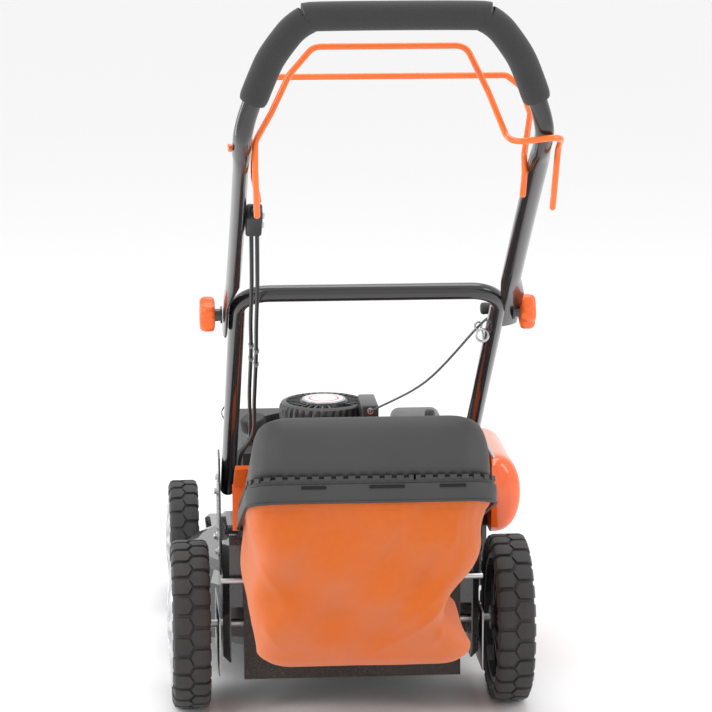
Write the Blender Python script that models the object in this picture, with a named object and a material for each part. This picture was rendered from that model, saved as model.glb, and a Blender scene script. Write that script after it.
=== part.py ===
"""Walk-behind rear-bag lawn mower, petrol driven, with a folding tube handle.

X is across the machine, +Y is the way it travels and Z is up, in metres.
Lengths along Y are written from the rear axle and REAR_AXLE_Y places that axle.
"""
import bpy
import bmesh
from math import pi, sin, cos, radians, sqrt
from mathutils import Vector

# ---- overall sizes
REAR_AXLE_Y = 0.0493
WHEELBASE = 0.593
TRACK = 0.484
FRONT_TRACK = 0.478
HANDLE_RISE = 0.448
HANDLE_REACH = 0.435
HANDLE_WIDTH = 0.376

# ---- wheels
REAR_WHEEL_D = 0.254
REAR_WHEEL_W = 0.056
FRONT_WHEEL_D = 0.203
FRONT_WHEEL_W = 0.048
AXLE_D = 0.012
RIM_SHARE = 0.79
HUB_CAP_RISE = 0.007

# ---- deck and discharge
CRANK_X = -0.018
CRANK_Y = 0.310
DECK_R = 0.235
DECK_WALL = 0.006
DECK_BOTTOM_Z = 0.055
DECK_TOP_Z = 0.170
HOUSING_HALF_W = 0.1935
HOUSING_TOP_Z = 0.270
HOUSING_REAR_Y = -0.045
TUNNEL_HALF_W = 0.135
HOOD_TOP_Z = 0.300
FLAP_HINGE_Y = -0.035
FLAP_HINGE_Z = 0.3485
SHIELD_ROD_Z = 0.208
BLADE_LENGTH = 0.450

# ---- engine
CAP_D = 0.143
CAP_TOP_Z = 0.403
SHROUD_D = 0.230
CAP_DISC_D = 0.070
FUEL_CAP_D = 0.040

# ---- handle
TUBE_D = 0.023
UPPER_TUBE_D = 0.024
TUBE_WALL = 0.0022
GRIP_D = 0.036
KNUCKLE_Y = -0.340
KNUCKLE_Z = 0.667
LOWER_LEG_X = 0.180
ROD_D = 0.008
KNOB_D = 0.051
CABLE_D = 0.0055
ROPE_D = 0.0035

# ---- bag
BAG_HALF_W = 0.175
CLOTH = 0.004
LID_CREST_Z = 0.523

# ---- fits
GAP = 0.0004
BORE_GAP = 0.0005

for old in list(bpy.data.objects):
    bpy.data.objects.remove(old, do_unlink=True)


def material(name, colour, rough, metal=0.0):
    made = bpy.data.materials.new(name)
    made.use_nodes = True
    shader = made.node_tree.nodes["Principled BSDF"]
    shader.inputs["Base Color"].default_value = (*colour, 1.0)
    shader.inputs["Roughness"].default_value = rough
    shader.inputs["Metallic"].default_value = metal
    return made


ORANGE = material("orange_enamel", (0.90, 0.13, 0.012), 0.32)
ORANGE_PLASTIC = material("orange_plastic", (0.88, 0.14, 0.015), 0.28)
ORANGE_CLOTH = material("orange_mesh", (0.90, 0.18, 0.02), 0.85)
BLACK_TUBE = material("black_enamel", (0.012, 0.012, 0.013), 0.22)
BLACK_PLASTIC = material("black_plastic", (0.022, 0.022, 0.023), 0.50)
GREY_PLASTIC = material("grey_plastic", (0.062, 0.059, 0.062), 0.62)
FOAM = material("foam_rubber", (0.042, 0.042, 0.043), 0.85)
DECK_PAINT = material("deck_enamel", (0.028, 0.029, 0.030), 0.30)
STEEL = material("bright_steel", (0.55, 0.55, 0.56), 0.30, 1.0)
CASTING = material("cast_aluminium", (0.48, 0.48, 0.49), 0.45, 1.0)
TYRE = material("tyre_rubber", (0.018, 0.018, 0.018), 0.75)
RIM = material("rim_plastic", (0.025, 0.025, 0.026), 0.40)
HUB_SILVER = material("hub_silver", (0.50, 0.50, 0.52), 0.30, 0.8)
LABEL = material("disc_plastic", (0.72, 0.72, 0.72), 0.35)
CABLE_BLACK = material("cable_sheath", (0.014, 0.014, 0.014), 0.50)
SHIELD_RUBBER = material("shield_rubber", (0.030, 0.026, 0.023), 0.70)


def at(x, y, z):
    """A point given from the rear axle."""
    return Vector((x, y + REAR_AXLE_Y, z))


def body_object(name, verts, faces, look, origin=None):
    """One closed mesh; origin is the world point its own zero sits on."""
    zero = Vector((0.0, 0.0, 0.0)) if origin is None else origin
    mesh = bpy.data.meshes.new(name)
    mesh.from_pydata([tuple(Vector(v) - zero) for v in verts], [], faces)
    mesh.materials.append(look)
    shaped = bmesh.new()
    shaped.from_mesh(mesh)
    bmesh.ops.recalc_face_normals(shaped, faces=shaped.faces)
    shaped.to_mesh(mesh)
    shaped.free()
    made = bpy.data.objects.new(name, mesh)
    made.location = zero
    bpy.context.collection.objects.link(made)
    return made


def loft(name, rings, look, origin=None, hollow=False):
    """Skin a row of equal rings; hollow joins the last ring back to the first."""
    count = len(rings[0])
    verts = [point for ring in rings for point in ring]
    faces = []
    last = len(rings) if hollow else len(rings) - 1
    for i in range(last):
        a = i * count
        b = ((i + 1) % len(rings)) * count
        for j in range(count):
            k = (j + 1) % count
            faces.append((a + j, a + k, b + k, b + j))
    if not hollow:
        faces.append(tuple(range(count)))
        faces.append(tuple(range(len(verts) - count, len(verts))))
    return body_object(name, verts, faces, look, origin)


def block(name, low, high, look, origin=None, bevel=0.0, segments=1):
    """A box between two corners, with its edges rounded when bevel is given."""
    x0, y0, z0 = low
    x1, y1, z1 = high
    rings = [[Vector((x0, y0, z)), Vector((x1, y0, z)), Vector((x1, y1, z)), Vector((x0, y1, z))]
             for z in (z0, z1)]
    made = loft(name, rings, look, origin)
    if bevel > 0.0:
        soften(made, bevel, segments)
    return made


def soften(made, width, segments=2, angle=35.0):
    """Round the sharp edges of a mesh."""
    shaped = bmesh.new()
    shaped.from_mesh(made.data)
    sharp = [e for e in shaped.edges if len(e.link_faces) == 2
             and e.calc_face_angle(0.0) > radians(angle)]
    bmesh.ops.bevel(shaped, geom=sharp, offset=width, segments=segments, profile=0.5,
                    affect="EDGES", clamp_overlap=True)
    bmesh.ops.remove_doubles(shaped, verts=shaped.verts, dist=0.00002)
    shaped.to_mesh(made.data)
    shaped.free()


def prism(name, outline, axis, start, stop, look, origin=None, bevel=0.0, segments=1):
    """A flat outline pushed along an axis. X takes (y, z), Y takes (x, z), Z takes (x, y)."""
    def place(p, h):
        if axis == "X":
            return Vector((h, p[0], p[1]))
        if axis == "Y":
            return Vector((p[0], h, p[1]))
        return Vector((p[0], p[1], h))
    made = loft(name, [[place(p, h) for p in outline] for h in (start, stop)], look, origin)
    if bevel > 0.0:
        soften(made, bevel, segments)
    return made


def turned(name, profile, centre, axis, segments, look, origin=None):
    """Turn (radius, height) points about an axis; a zero radius makes a pole."""
    axis = Vector(axis).normalized()
    side = axis.orthogonal().normalized()
    up = axis.cross(side)
    verts = []
    rows = []
    for radius, height in profile:
        base = Vector(centre) + axis * height
        if radius <= 0.0:
            rows.append([len(verts)])
            verts.append(base)
            continue
        rows.append(list(range(len(verts), len(verts) + segments)))
        for j in range(segments):
            turn = 2.0 * pi * j / segments
            verts.append(base + (side * cos(turn) + up * sin(turn)) * radius)
    faces = []
    closed = profile[0][0] > 0.0
    pairs = list(zip(rows, rows[1:]))
    if closed:
        pairs.append((rows[-1], rows[0]))
    for one, two in pairs:
        for j in range(segments):
            k = (j + 1) % segments
            if len(one) == 1 and len(two) == 1:
                continue
            if len(one) == 1:
                faces.append((one[0], two[k], two[j]))
            elif len(two) == 1:
                faces.append((one[j], one[k], two[0]))
            else:
                faces.append((one[j], one[k], two[k], two[j]))
    return body_object(name, verts, faces, look, origin)


def rounded_path(corners, radius, steps=4):
    """A polyline with every inner corner replaced by an arc."""
    radii = radius if isinstance(radius, (list, tuple)) else [radius] * len(corners)
    path = [Vector(corners[0])]
    for before, here, after, bend in zip(corners, corners[1:], corners[2:], radii[1:]):
        here = Vector(here)
        into = (here - Vector(before)).normalized()
        out = (Vector(after) - here).normalized()
        turn = into.angle(out)
        if turn < radians(3.0) or bend <= 0.0:
            path.append(here)
            continue
        cut = bend * sin(turn / 2.0) / cos(turn / 2.0)
        first = here - into * cut
        last = here + out * cut
        normal = (out - into).normalized()
        centre = here + normal * (bend / cos(turn / 2.0))
        for i in range(steps + 1):
            share = i / steps
            aim = (first - centre).normalized().slerp((last - centre).normalized(), share)
            path.append(centre + aim * bend)
    path.append(Vector(corners[-1]))
    return path


def frames(path, guide):
    """A side and a normal direction at each point, carried along without twist."""
    found = []
    side = Vector(guide)
    for i, point in enumerate(path):
        if i == 0:
            along = path[1] - point
        elif i == len(path) - 1:
            along = point - path[i - 1]
        else:
            along = (path[i + 1] - point).normalized() + (point - path[i - 1]).normalized()
        along.normalize()
        side = (side - along * side.dot(along)).normalized()
        found.append((side.copy(), along.cross(side)))
    return found


def swept(name, path, halves, look, guide=(1, 0, 0), count=10, wall=0.0, origin=None):
    """A bar or tube along a path. halves is one radius or a (side, normal) pair per point."""
    sizes = halves if isinstance(halves, list) else [(halves, halves)] * len(path)

    def ring(i, less):
        side, normal = ways[i]
        a, b = sizes[i][0] - less, sizes[i][1] - less
        return [path[i] + side * (a * cos(2 * pi * j / count)) + normal * (b * sin(2 * pi * j / count))
                for j in range(count)]

    ways = frames(path, guide)
    rings = [ring(i, 0.0) for i in range(len(path))]
    if wall > 0.0:
        rings += [ring(i, wall) for i in reversed(range(len(path)))]
    return loft(name, rings, look, origin, hollow=wall > 0.0)


def combine(target, tool, how):
    """Cut, join or trim a mesh with another one, and let the tool go."""
    step = target.modifiers.new("shape", "BOOLEAN")
    step.operation = how
    step.object = tool
    step.solver = "EXACT"
    bpy.context.view_layer.update()
    graph = bpy.context.evaluated_depsgraph_get()
    result = bpy.data.meshes.new_from_object(target.evaluated_get(graph))
    target.modifiers.clear()
    spent = target.data
    look = spent.materials[0]
    target.data = result
    target.data.name = target.name
    target.data.materials.clear()
    target.data.materials.append(look)
    for face in target.data.polygons:
        face.material_index = 0
    bpy.data.meshes.remove(spent)
    bpy.data.objects.remove(tool, do_unlink=True)
    return target


# ---- deck: pressed shell over the blade, with the discharge tunnel behind it
REAR_AXLE_Z = REAR_WHEEL_D / 2
FRONT_AXLE_Z = FRONT_WHEEL_D / 2
CHAMBER_R = DECK_R - DECK_WALL
CHAMBER_TOP_Z = DECK_TOP_Z - DECK_WALL
TUNNEL_BOTTOM_Z = SHIELD_ROD_Z + 0.008
TUNNEL_TOP_Z = HOOD_TOP_Z - 0.015
HOOD_HALF_W = TUNNEL_HALF_W + 0.015
crank = at(CRANK_X, CRANK_Y, 0.0)

deck = turned("deck_shell",
              [(0.0, DECK_TOP_Z), (DECK_R - 0.030, DECK_TOP_Z), (DECK_R - 0.010, DECK_TOP_Z - 0.008),
               (DECK_R - 0.003, DECK_TOP_Z - 0.028), (DECK_R, DECK_BOTTOM_Z + 0.004),
               (DECK_R, DECK_BOTTOM_Z), (0.0, DECK_BOTTOM_Z)],
              crank, (0, 0, 1), 40, DECK_PAINT)
housing_side = [(HOUSING_REAR_Y, 0.075), (0.190, 0.075), (0.190, 0.180), (0.135, HOUSING_TOP_Z),
                (HOUSING_REAR_Y, HOUSING_TOP_Z)]
housing = prism("housing_tool", [(y + REAR_AXLE_Y, z) for y, z in housing_side], "X",
                -HOUSING_HALF_W, HOUSING_HALF_W, DECK_PAINT, bevel=0.010)
combine(deck, housing, "UNION")
hood = block("hood_tool", at(-HOOD_HALF_W, HOUSING_REAR_Y, HOUSING_TOP_Z - 0.040),
             at(HOOD_HALF_W, 0.125, HOOD_TOP_Z), DECK_PAINT, bevel=0.006)
combine(deck, hood, "UNION")
for side in (-1, 1):
    lug = block("lug_tool", at(side * 0.100 - 0.005, HOUSING_REAR_Y, HOOD_TOP_Z - 0.010),
                at(side * 0.100 + 0.005, HOUSING_REAR_Y + 0.022, FLAP_HINGE_Z - 0.0050), DECK_PAINT)
    combine(deck, lug, "UNION")
NOSE_HALF_W = FRONT_TRACK / 2 - FRONT_WHEEL_W / 2 - 0.012
nose_side = [(0.400, 0.072), (WHEELBASE + 0.022, 0.080), (WHEELBASE + 0.030, FRONT_AXLE_Z + 0.010),
             (WHEELBASE + 0.004, FRONT_AXLE_Z + 0.045), (0.440, DECK_TOP_Z - 0.010),
             (0.400, DECK_TOP_Z - 0.010)]
nose = prism("nose_tool", [(y + REAR_AXLE_Y, z) for y, z in nose_side], "X",
             -NOSE_HALF_W, NOSE_HALF_W, DECK_PAINT, bevel=0.008)
combine(deck, nose, "UNION")
chamber = turned("chamber_tool",
                 [(0.0, CHAMBER_TOP_Z), (CHAMBER_R - 0.028, CHAMBER_TOP_Z),
                  (CHAMBER_R - 0.006, CHAMBER_TOP_Z - 0.014), (CHAMBER_R, DECK_BOTTOM_Z + 0.010),
                  (CHAMBER_R, DECK_BOTTOM_Z - 0.020), (0.0, DECK_BOTTOM_Z - 0.020)],
                 crank, (0, 0, 1), 40, DECK_PAINT)
combine(deck, chamber, "DIFFERENCE")
tunnel_side = [(HOUSING_REAR_Y - 0.02, TUNNEL_BOTTOM_Z), (0.050, TUNNEL_BOTTOM_Z), (0.120, 0.110),
               (0.185, 0.100), (0.185, 0.160), (0.117, 0.262), (0.110, TUNNEL_TOP_Z),
               (HOUSING_REAR_Y - 0.02, TUNNEL_TOP_Z)]
tunnel = prism("tunnel_tool", [(y + REAR_AXLE_Y, z) for y, z in tunnel_side], "X",
               -TUNNEL_HALF_W, TUNNEL_HALF_W, DECK_PAINT)
combine(deck, tunnel, "DIFFERENCE")
# the space under the housing, where the gearbox hangs
under = block("under_tool", at(-HOUSING_HALF_W + 0.012, HOUSING_REAR_Y - 0.02, 0.0),
              at(HOUSING_HALF_W - 0.012, 0.100, CHAMBER_TOP_Z), DECK_PAINT)
combine(deck, under, "DIFFERENCE")
nose_under = block("nose_tool", at(-NOSE_HALF_W + 0.010, WHEELBASE - 0.014, 0.0),
                   at(NOSE_HALF_W - 0.010, WHEELBASE + 0.015, FRONT_AXLE_Z + 0.022), DECK_PAINT)
combine(deck, nose_under, "DIFFERENCE")
for axle_y, axle_z in ((0.0, REAR_AXLE_Z), (WHEELBASE, FRONT_AXLE_Z)):
    hole = turned("axle_tool", [(0.0, -TRACK), (AXLE_D / 2 + GAP, -TRACK),
                                (AXLE_D / 2 + GAP, TRACK), (0.0, TRACK)],
                  at(0.0, axle_y, axle_z), (1, 0, 0), 20, DECK_PAINT)
    combine(deck, hole, "DIFFERENCE")
CRANK_SHAFT_R = 0.011
crank_hole = turned("crank_tool", [(0.0, 0.10), (CRANK_SHAFT_R + BORE_GAP, 0.10),
                                   (CRANK_SHAFT_R + BORE_GAP, 0.25), (0.0, 0.25)],
                    crank, (0, 0, 1), 20, DECK_PAINT)
combine(deck, crank_hole, "DIFFERENCE")

# ---- axles
rear_half = TRACK / 2 + REAR_WHEEL_W / 2 - 0.006
front_half = FRONT_TRACK / 2 + FRONT_WHEEL_W / 2 - 0.006
for name, y, z, half in (("rear_axle", 0.0, REAR_AXLE_Z, rear_half),
                         ("front_axle", WHEELBASE, FRONT_AXLE_Z, front_half)):
    turned(name, [(0.0, -half), (AXLE_D / 2, -half), (AXLE_D / 2, half), (0.0, half)],
           at(0.0, y, z), (1, 0, 0), 16, STEEL)


# ---- wheels: a tyre on a dished rim, with a cap on the outer face
def wheel(tag, side, track, y, diameter, width):
    centre = at(side * track / 2, y, diameter / 2)
    outer = Vector((side, 0, 0))
    radius = diameter / 2
    seat = radius * RIM_SHARE
    half = width / 2
    turned("tyre_" + tag,
           [(seat, -half * 0.86), (seat + 0.006, -half), (radius - 0.010, -half * 0.98),
            (radius, -half * 0.70), (radius, half * 0.70), (radius - 0.010, half * 0.98), (seat + 0.006, half),
            (seat, half * 0.86)],
           centre, outer, 36, TYRE, origin=centre)
    bore = AXLE_D / 2 + BORE_GAP
    lip = seat - GAP
    turned("rim_" + tag,
           [(bore, -half * 0.95), (bore + 0.012, -half * 0.95), (bore + 0.013, -half * 0.30),
            (lip - 0.010, -half * 0.30), (lip - 0.008, -half * 0.84), (lip, -half * 0.84),
            (lip, half * 0.84), (lip - 0.009, half * 0.84), (lip - 0.010, half * 0.05),
            (bore + 0.013, half * 0.05), (bore + 0.012, half * 0.70), (bore, half * 0.70)],
           centre, outer, 20, RIM, origin=centre)
    inside = half * 0.84 + GAP
    turned("hub_cap_" + tag,
           [(0.0, inside + 0.0016), (lip - 0.010, inside), (lip - 0.002, inside),
            (lip - 0.002, inside + 0.0025), (lip * 0.55, half + HUB_CAP_RISE * 0.7),
            (lip * 0.28, half + HUB_CAP_RISE), (0.0, half + HUB_CAP_RISE)],
           centre, outer, 20, HUB_SILVER, origin=centre)


wheel("rear_left", -1, TRACK, 0.0, REAR_WHEEL_D, REAR_WHEEL_W)
wheel("rear_right", 1, TRACK, 0.0, REAR_WHEEL_D, REAR_WHEEL_W)
wheel("front_left", -1, FRONT_TRACK, WHEELBASE, FRONT_WHEEL_D, FRONT_WHEEL_W)
wheel("front_right", 1, FRONT_TRACK, WHEELBASE, FRONT_WHEEL_D, FRONT_WHEEL_W)

# ---- drive: gearbox on the rear axle, belt pulleys and belt under the deck
BELT_Z = CHAMBER_TOP_Z - 0.016
GEARBOX_Y = 0.020
PULLEY_Y = 0.060
GEARBOX_TOP_Z = BELT_Z - 0.009
gearbox = block("gearbox", at(-0.040, GEARBOX_Y - 0.045, REAR_AXLE_Z - 0.030),
                at(0.020, PULLEY_Y + 0.020, GEARBOX_TOP_Z), CASTING, bevel=0.006)
gearbox_bore = turned("bore_tool", [(0.0, -0.08), (AXLE_D / 2 + GAP, -0.08),
                                    (AXLE_D / 2 + GAP, 0.08), (0.0, 0.08)],
                      at(0.0, 0.0, REAR_AXLE_Z), (1, 0, 0), 16, CASTING)
combine(gearbox, gearbox_bore, "DIFFERENCE")
pulley_centre = at(CRANK_X, PULLEY_Y, 0.0)
PULLEY_R = 0.026
SMALL_PULLEY_R = 0.018
turned("gearbox_pulley",
       [(0.0, BELT_Z - 0.008), (PULLEY_R, BELT_Z - 0.008), (PULLEY_R, BELT_Z - 0.006),
        (PULLEY_R - 0.004, BELT_Z), (PULLEY_R, BELT_Z + 0.006), (PULLEY_R, BELT_Z + 0.008),
        (0.0, BELT_Z + 0.008)], pulley_centre, (0, 0, 1), 24, STEEL, origin=pulley_centre)
turned("crankshaft",
       [(0.0, 0.0845), (0.016, 0.0845), (0.016, 0.100), (CRANK_SHAFT_R, 0.102),
        (CRANK_SHAFT_R, BELT_Z - 0.009), (SMALL_PULLEY_R, BELT_Z - 0.008),
        (SMALL_PULLEY_R - 0.004, BELT_Z), (SMALL_PULLEY_R, BELT_Z + 0.008),
        (CRANK_SHAFT_R, BELT_Z + 0.009), (CRANK_SHAFT_R, DECK_TOP_Z + 0.020),
        (0.0, DECK_TOP_Z + 0.020)], crank, (0, 0, 1), 20, STEEL, origin=crank)
HALF_BLADE = BLADE_LENGTH / 2
blade = prism("blade", [(crank.x - HALF_BLADE, crank.y - 0.022), (crank.x + HALF_BLADE - 0.01, crank.y - 0.026),
                        (crank.x + HALF_BLADE, crank.y + 0.022), (crank.x - HALF_BLADE + 0.01, crank.y + 0.026)],
              "Z", 0.0770, 0.0840, STEEL, origin=crank)


def belt_outline(radius):
    """Round both pulleys, in plan."""
    points = []
    for centre, start in ((crank, 0.0), (pulley_centre, pi)):
        grow = SMALL_PULLEY_R if centre is crank else PULLEY_R
        for i in range(13):
            turn = start + pi * i / 12
            points.append((centre.x + (grow + radius) * cos(turn), centre.y + (grow + radius) * sin(turn)))
    return points


BELT_T = 0.0035
belt = prism("drive_belt", belt_outline(GAP + BELT_T), "Z", BELT_Z - 0.005, BELT_Z + 0.005, CABLE_BLACK)
belt_tool = prism("belt_tool", belt_outline(GAP), "Z", BELT_Z - 0.01, BELT_Z + 0.01, CABLE_BLACK)
combine(belt, belt_tool, "DIFFERENCE")

# ---- engine: crankcase, black shroud with the recoil cap on top, tank, filter, exhaust
ENGINE_FOOT_Z = DECK_TOP_Z + GAP
TRAY_Z = 0.262
TRAY_T = 0.017
engine = block("engine_block", at(CRANK_X - 0.075, CRANK_Y - 0.080, ENGINE_FOOT_Z),
               at(CRANK_X + 0.085, CRANK_Y + 0.080, TRAY_Z - GAP), CASTING, bevel=0.008)
head = block("head_tool", at(CRANK_X - 0.045, CRANK_Y + 0.060, 0.190),
             at(CRANK_X + 0.050, CRANK_Y + 0.145, TRAY_Z - 0.006), CASTING, bevel=0.005)
combine(engine, head, "UNION")
seat = turned("seat_tool", [(0.0, 0.10), (CRANK_SHAFT_R + BORE_GAP, 0.10),
                            (CRANK_SHAFT_R + BORE_GAP, DECK_TOP_Z + 0.021),
                            (0.0, DECK_TOP_Z + 0.021)], crank, (0, 0, 1), 20, CASTING)
combine(engine, seat, "DIFFERENCE")

SHROUD_TOP_Z = CAP_TOP_Z - 0.043
shroud_r = SHROUD_D / 2
shroud = turned("blower_housing",
                [(0.0, TRAY_Z), (shroud_r - 0.004, TRAY_Z), (shroud_r, TRAY_Z + 0.010),
                 (shroud_r, SHROUD_TOP_Z - 0.028), (shroud_r - 0.008, SHROUD_TOP_Z - 0.010),
                 (shroud_r - 0.026, SHROUD_TOP_Z), (0.0, SHROUD_TOP_Z)],
                crank, (0, 0, 1), 28, BLACK_PLASTIC)
tray = block("tray_tool", at(CRANK_X - 0.147, 0.148, TRAY_Z),
             at(0.161, 0.455, TRAY_Z + TRAY_T), BLACK_PLASTIC, bevel=0.005)
combine(shroud, tray, "UNION")
cap_r = CAP_D / 2
cap = turned("recoil_cap",
             [(0.0, SHROUD_TOP_Z + GAP), (cap_r, SHROUD_TOP_Z + GAP), (cap_r, CAP_TOP_Z - 0.008),
              (cap_r - 0.005, CAP_TOP_Z), (0.0, CAP_TOP_Z)], crank, (0, 0, 1), 28, BLACK_PLASTIC)
OUTLET_X = 0.0475
OUTLET_Y = 0.195
outlet = block("outlet_tool", at(OUTLET_X - 0.0135, OUTLET_Y, CAP_TOP_Z - 0.020),
               at(OUTLET_X + 0.0135, CRANK_Y - 0.030, CAP_TOP_Z + 0.015), BLACK_PLASTIC, bevel=0.003)
combine(cap, outlet, "UNION")
turned("cap_disc", [(0.0, CAP_TOP_Z + GAP), (CAP_DISC_D / 2, CAP_TOP_Z + GAP),
                    (CAP_DISC_D / 2, CAP_TOP_Z + 0.0022), (CAP_DISC_D / 2 - 0.0015, CAP_TOP_Z + 0.0032),
                    (0.0, CAP_TOP_Z + 0.0032)], crank, (0, 0, 1), 28, LABEL)

TANK_TOP_Z = 0.362
tank = block("fuel_tank", at(CRANK_X - 0.146, 0.160, TRAY_Z + TRAY_T + GAP),
             at(CRANK_X - 0.022, 0.450, TANK_TOP_Z), BLACK_PLASTIC, bevel=0.010)
hug = turned("hug_tool", [(0.0, TRAY_Z), (shroud_r + GAP, TRAY_Z), (shroud_r + GAP, 0.40), (0.0, 0.40)],
             crank, (0, 0, 1), 28, BLACK_PLASTIC)
combine(tank, hug, "DIFFERENCE")
FILLER = at(-0.131, 0.195, TANK_TOP_Z)
FILLER_AXIS = Vector((-0.16, -0.20, 1.0)).normalized()
neck = turned("neck_tool", [(0.0, -0.012), (0.0145, -0.012), (0.0145, 0.022), (0.0, 0.022)],
              FILLER, FILLER_AXIS, 20, BLACK_PLASTIC)
combine(tank, neck, "UNION")
turned("fuel_cap", [(0.0, 0.022 + GAP), (FUEL_CAP_D / 2 - 0.001, 0.022 + GAP),
                    (FUEL_CAP_D / 2, 0.026), (FUEL_CAP_D / 2, 0.040),
                    (FUEL_CAP_D / 2 - 0.004, 0.044), (0.0, 0.045)],
       FILLER, FILLER_AXIS, 24, BLACK_PLASTIC, origin=FILLER)

FILTER_X0 = 0.082
FILTER_X1 = 0.160
FILTER_TOP_Z = 0.405
air_filter = block("air_filter_cover", at(FILTER_X0, 0.130, TRAY_Z + TRAY_T + GAP),
                   at(FILTER_X1, 0.248, FILTER_TOP_Z), BLACK_PLASTIC, bevel=0.012, segments=2)
filter_knob = turned("knob_tool", [(0.0, FILTER_TOP_Z - 0.004), (0.0075, FILTER_TOP_Z - 0.004),
                                   (0.0075, FILTER_TOP_Z + 0.011), (0.0, FILTER_TOP_Z + 0.012)],
                     at(0.138, 0.165, 0.0), (0, 0, 1), 16, BLACK_PLASTIC)
combine(air_filter, filter_knob, "UNION")
block("carburettor", at(0.020, 0.130, TRAY_Z + TRAY_T + GAP),
      at(FILTER_X0 - GAP, 0.182, 0.345), CASTING, bevel=0.006)
block("muffler", at(CRANK_X - 0.060, CRANK_Y + 0.145 + GAP, 0.192),
      at(CRANK_X + 0.060, CRANK_Y + 0.205, 0.256), STEEL, bevel=0.008)
turned("spark_plug", [(0.0, 0.0), (0.0095, 0.0), (0.0095, 0.012), (0.0070, 0.014), (0.0085, 0.034),
                      (0.0, 0.036)],
       at(CRANK_X + 0.050 + GAP, CRANK_Y + 0.115, 0.225), (1, 0, 0), 14, BLACK_PLASTIC)

# ---- right side: the clipping chute and the sprung cover over it
CHUTE_TOP_Z = 0.336
CHUTE_OUT_X = 0.234
chute = block("side_chute", at(0.164, 0.200, ENGINE_FOOT_Z), at(CHUTE_OUT_X, 0.372, CHUTE_TOP_Z),
              BLACK_PLASTIC, bevel=0.008)
COVER_TOP_Z = 0.342
COVER_HINGE = at(CHUTE_OUT_X + GAP, 0.280, COVER_TOP_Z)
cover_outline = [(COVER_HINGE.x, 0.222), (0.258, 0.216), (0.274, 0.224), (0.283, 0.246),
                 (0.2845, 0.270), (0.2825, 0.300), (0.275, 0.328), (0.262, 0.341),
                 (COVER_HINGE.x, COVER_TOP_Z)]
prism("side_cover", cover_outline, "Y", 0.150 + REAR_AXLE_Y, 0.385 + REAR_AXLE_Y, ORANGE_PLASTIC,
      origin=COVER_HINGE, bevel=0.006)

# ---- handle brackets on both sides of the housing
BRACKET_T = 0.003
BRACKET_X = HOUSING_HALF_W + GAP
bracket_outline = [(-0.010, 0.205), (0.128, 0.205), (0.135, 0.300), (0.105, 0.337), (0.050, 0.386),
                   (0.020, 0.378), (0.002, 0.300)]
for tag, side in (("left", -1), ("right", 1)):
    prism("handle_bracket_" + tag, [(y + REAR_AXLE_Y, z) for y, z in bracket_outline], "X",
          side * BRACKET_X, side * (BRACKET_X + BRACKET_T), DECK_PAINT, bevel=0.0008, segments=1)

# ---- lower handle: one tube, up from the brackets and across
leg_foot = (0.100, 0.312)
knuckle = (KNUCKLE_Y, KNUCKLE_Z)
leg_run = Vector((knuckle[0] - leg_foot[0], knuckle[1] - leg_foot[1])).normalized()
CROSS_PAST = 0.053
cross = (knuckle[0] + leg_run.x * CROSS_PAST, knuckle[1] + leg_run.y * CROSS_PAST + 0.003)
lower_path = rounded_path([at(-LOWER_LEG_X, *leg_foot), at(-LOWER_LEG_X, *cross),
                           at(LOWER_LEG_X, *cross), at(LOWER_LEG_X, *leg_foot)], 0.042, 5)
swept("lower_handle", lower_path, TUBE_D / 2, BLACK_TUBE, (1, 0, 0), 10, wall=TUBE_WALL)

# ---- upper handle: flattened ends outside the lower legs, oval legs, round grip
FLAT_T = 0.008
FLAT_X = LOWER_LEG_X + TUBE_D / 2 + GAP + FLAT_T / 2
HALF_W = HANDLE_WIDTH / 2 - 0.001
LEG_REACH = HANDLE_REACH - 0.030
LEG_RISE = HANDLE_RISE - 0.150
bend_y = KNUCKLE_Y - LEG_REACH
bend_z = KNUCKLE_Z + LEG_RISE
up_run = Vector((-LEG_REACH, LEG_RISE)).normalized()


def on_leg(x, distance):
    """A point on the straight upper leg, measured from the knuckle."""
    return at(x, KNUCKLE_Y + up_run.x * distance, KNUCKLE_Z + up_run.y * distance)


def over_bend(x, back, rise):
    """A point of the grip end, measured from the bend."""
    return at(x, bend_y - back, bend_z + rise)


leg_length = sqrt(LEG_REACH ** 2 + LEG_RISE ** 2)
FLAT = (FLAT_T / 2, 0.0165)
OVAL = (0.0100, 0.0140)
ROUND = (UPPER_TUBE_D / 2, UPPER_TUBE_D / 2)
half = [(on_leg(FLAT_X, -0.040), FLAT), (on_leg(FLAT_X, 0.0), FLAT), (on_leg(FLAT_X, 0.048), FLAT),
        (on_leg(FLAT_X - 0.004, 0.072), (0.0065, 0.0155)), (on_leg(HALF_W + 0.001, 0.100), OVAL),
        (on_leg(HALF_W, leg_length * 0.55), OVAL), (on_leg(HALF_W, leg_length - 0.075), OVAL),
        (on_leg(HALF_W, leg_length - 0.040), ROUND), (over_bend(HALF_W, -0.012, -0.007), ROUND),
        (over_bend(HALF_W - 0.0010, 0.001, 0.006), ROUND),
        (over_bend(HALF_W - 0.005, 0.006, 0.024), ROUND),
        (over_bend(HALF_W - 0.012, 0.011, 0.045), ROUND),
        (over_bend(HALF_W - 0.022, 0.017, 0.071), ROUND),
        (over_bend(HALF_W - 0.034, 0.021, 0.098), ROUND),
        (over_bend(HALF_W - 0.052, 0.026, 0.124), ROUND),
        (over_bend(HALF_W - 0.064, 0.028, 0.137), ROUND),
        (over_bend(HALF_W - 0.078, 0.030, 0.146), ROUND),
        (over_bend(HALF_W - 0.095, 0.030, 0.150), ROUND)]
grip_from = 11
mirrored = [(Vector((-p.x, p.y, p.z)), s) for p, s in half]
upper = mirrored + list(reversed(half))
upper_path = [p for p, s in upper]
upper_sizes = [s for p, s in upper]
HANDLE_SIDES = 10
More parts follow.
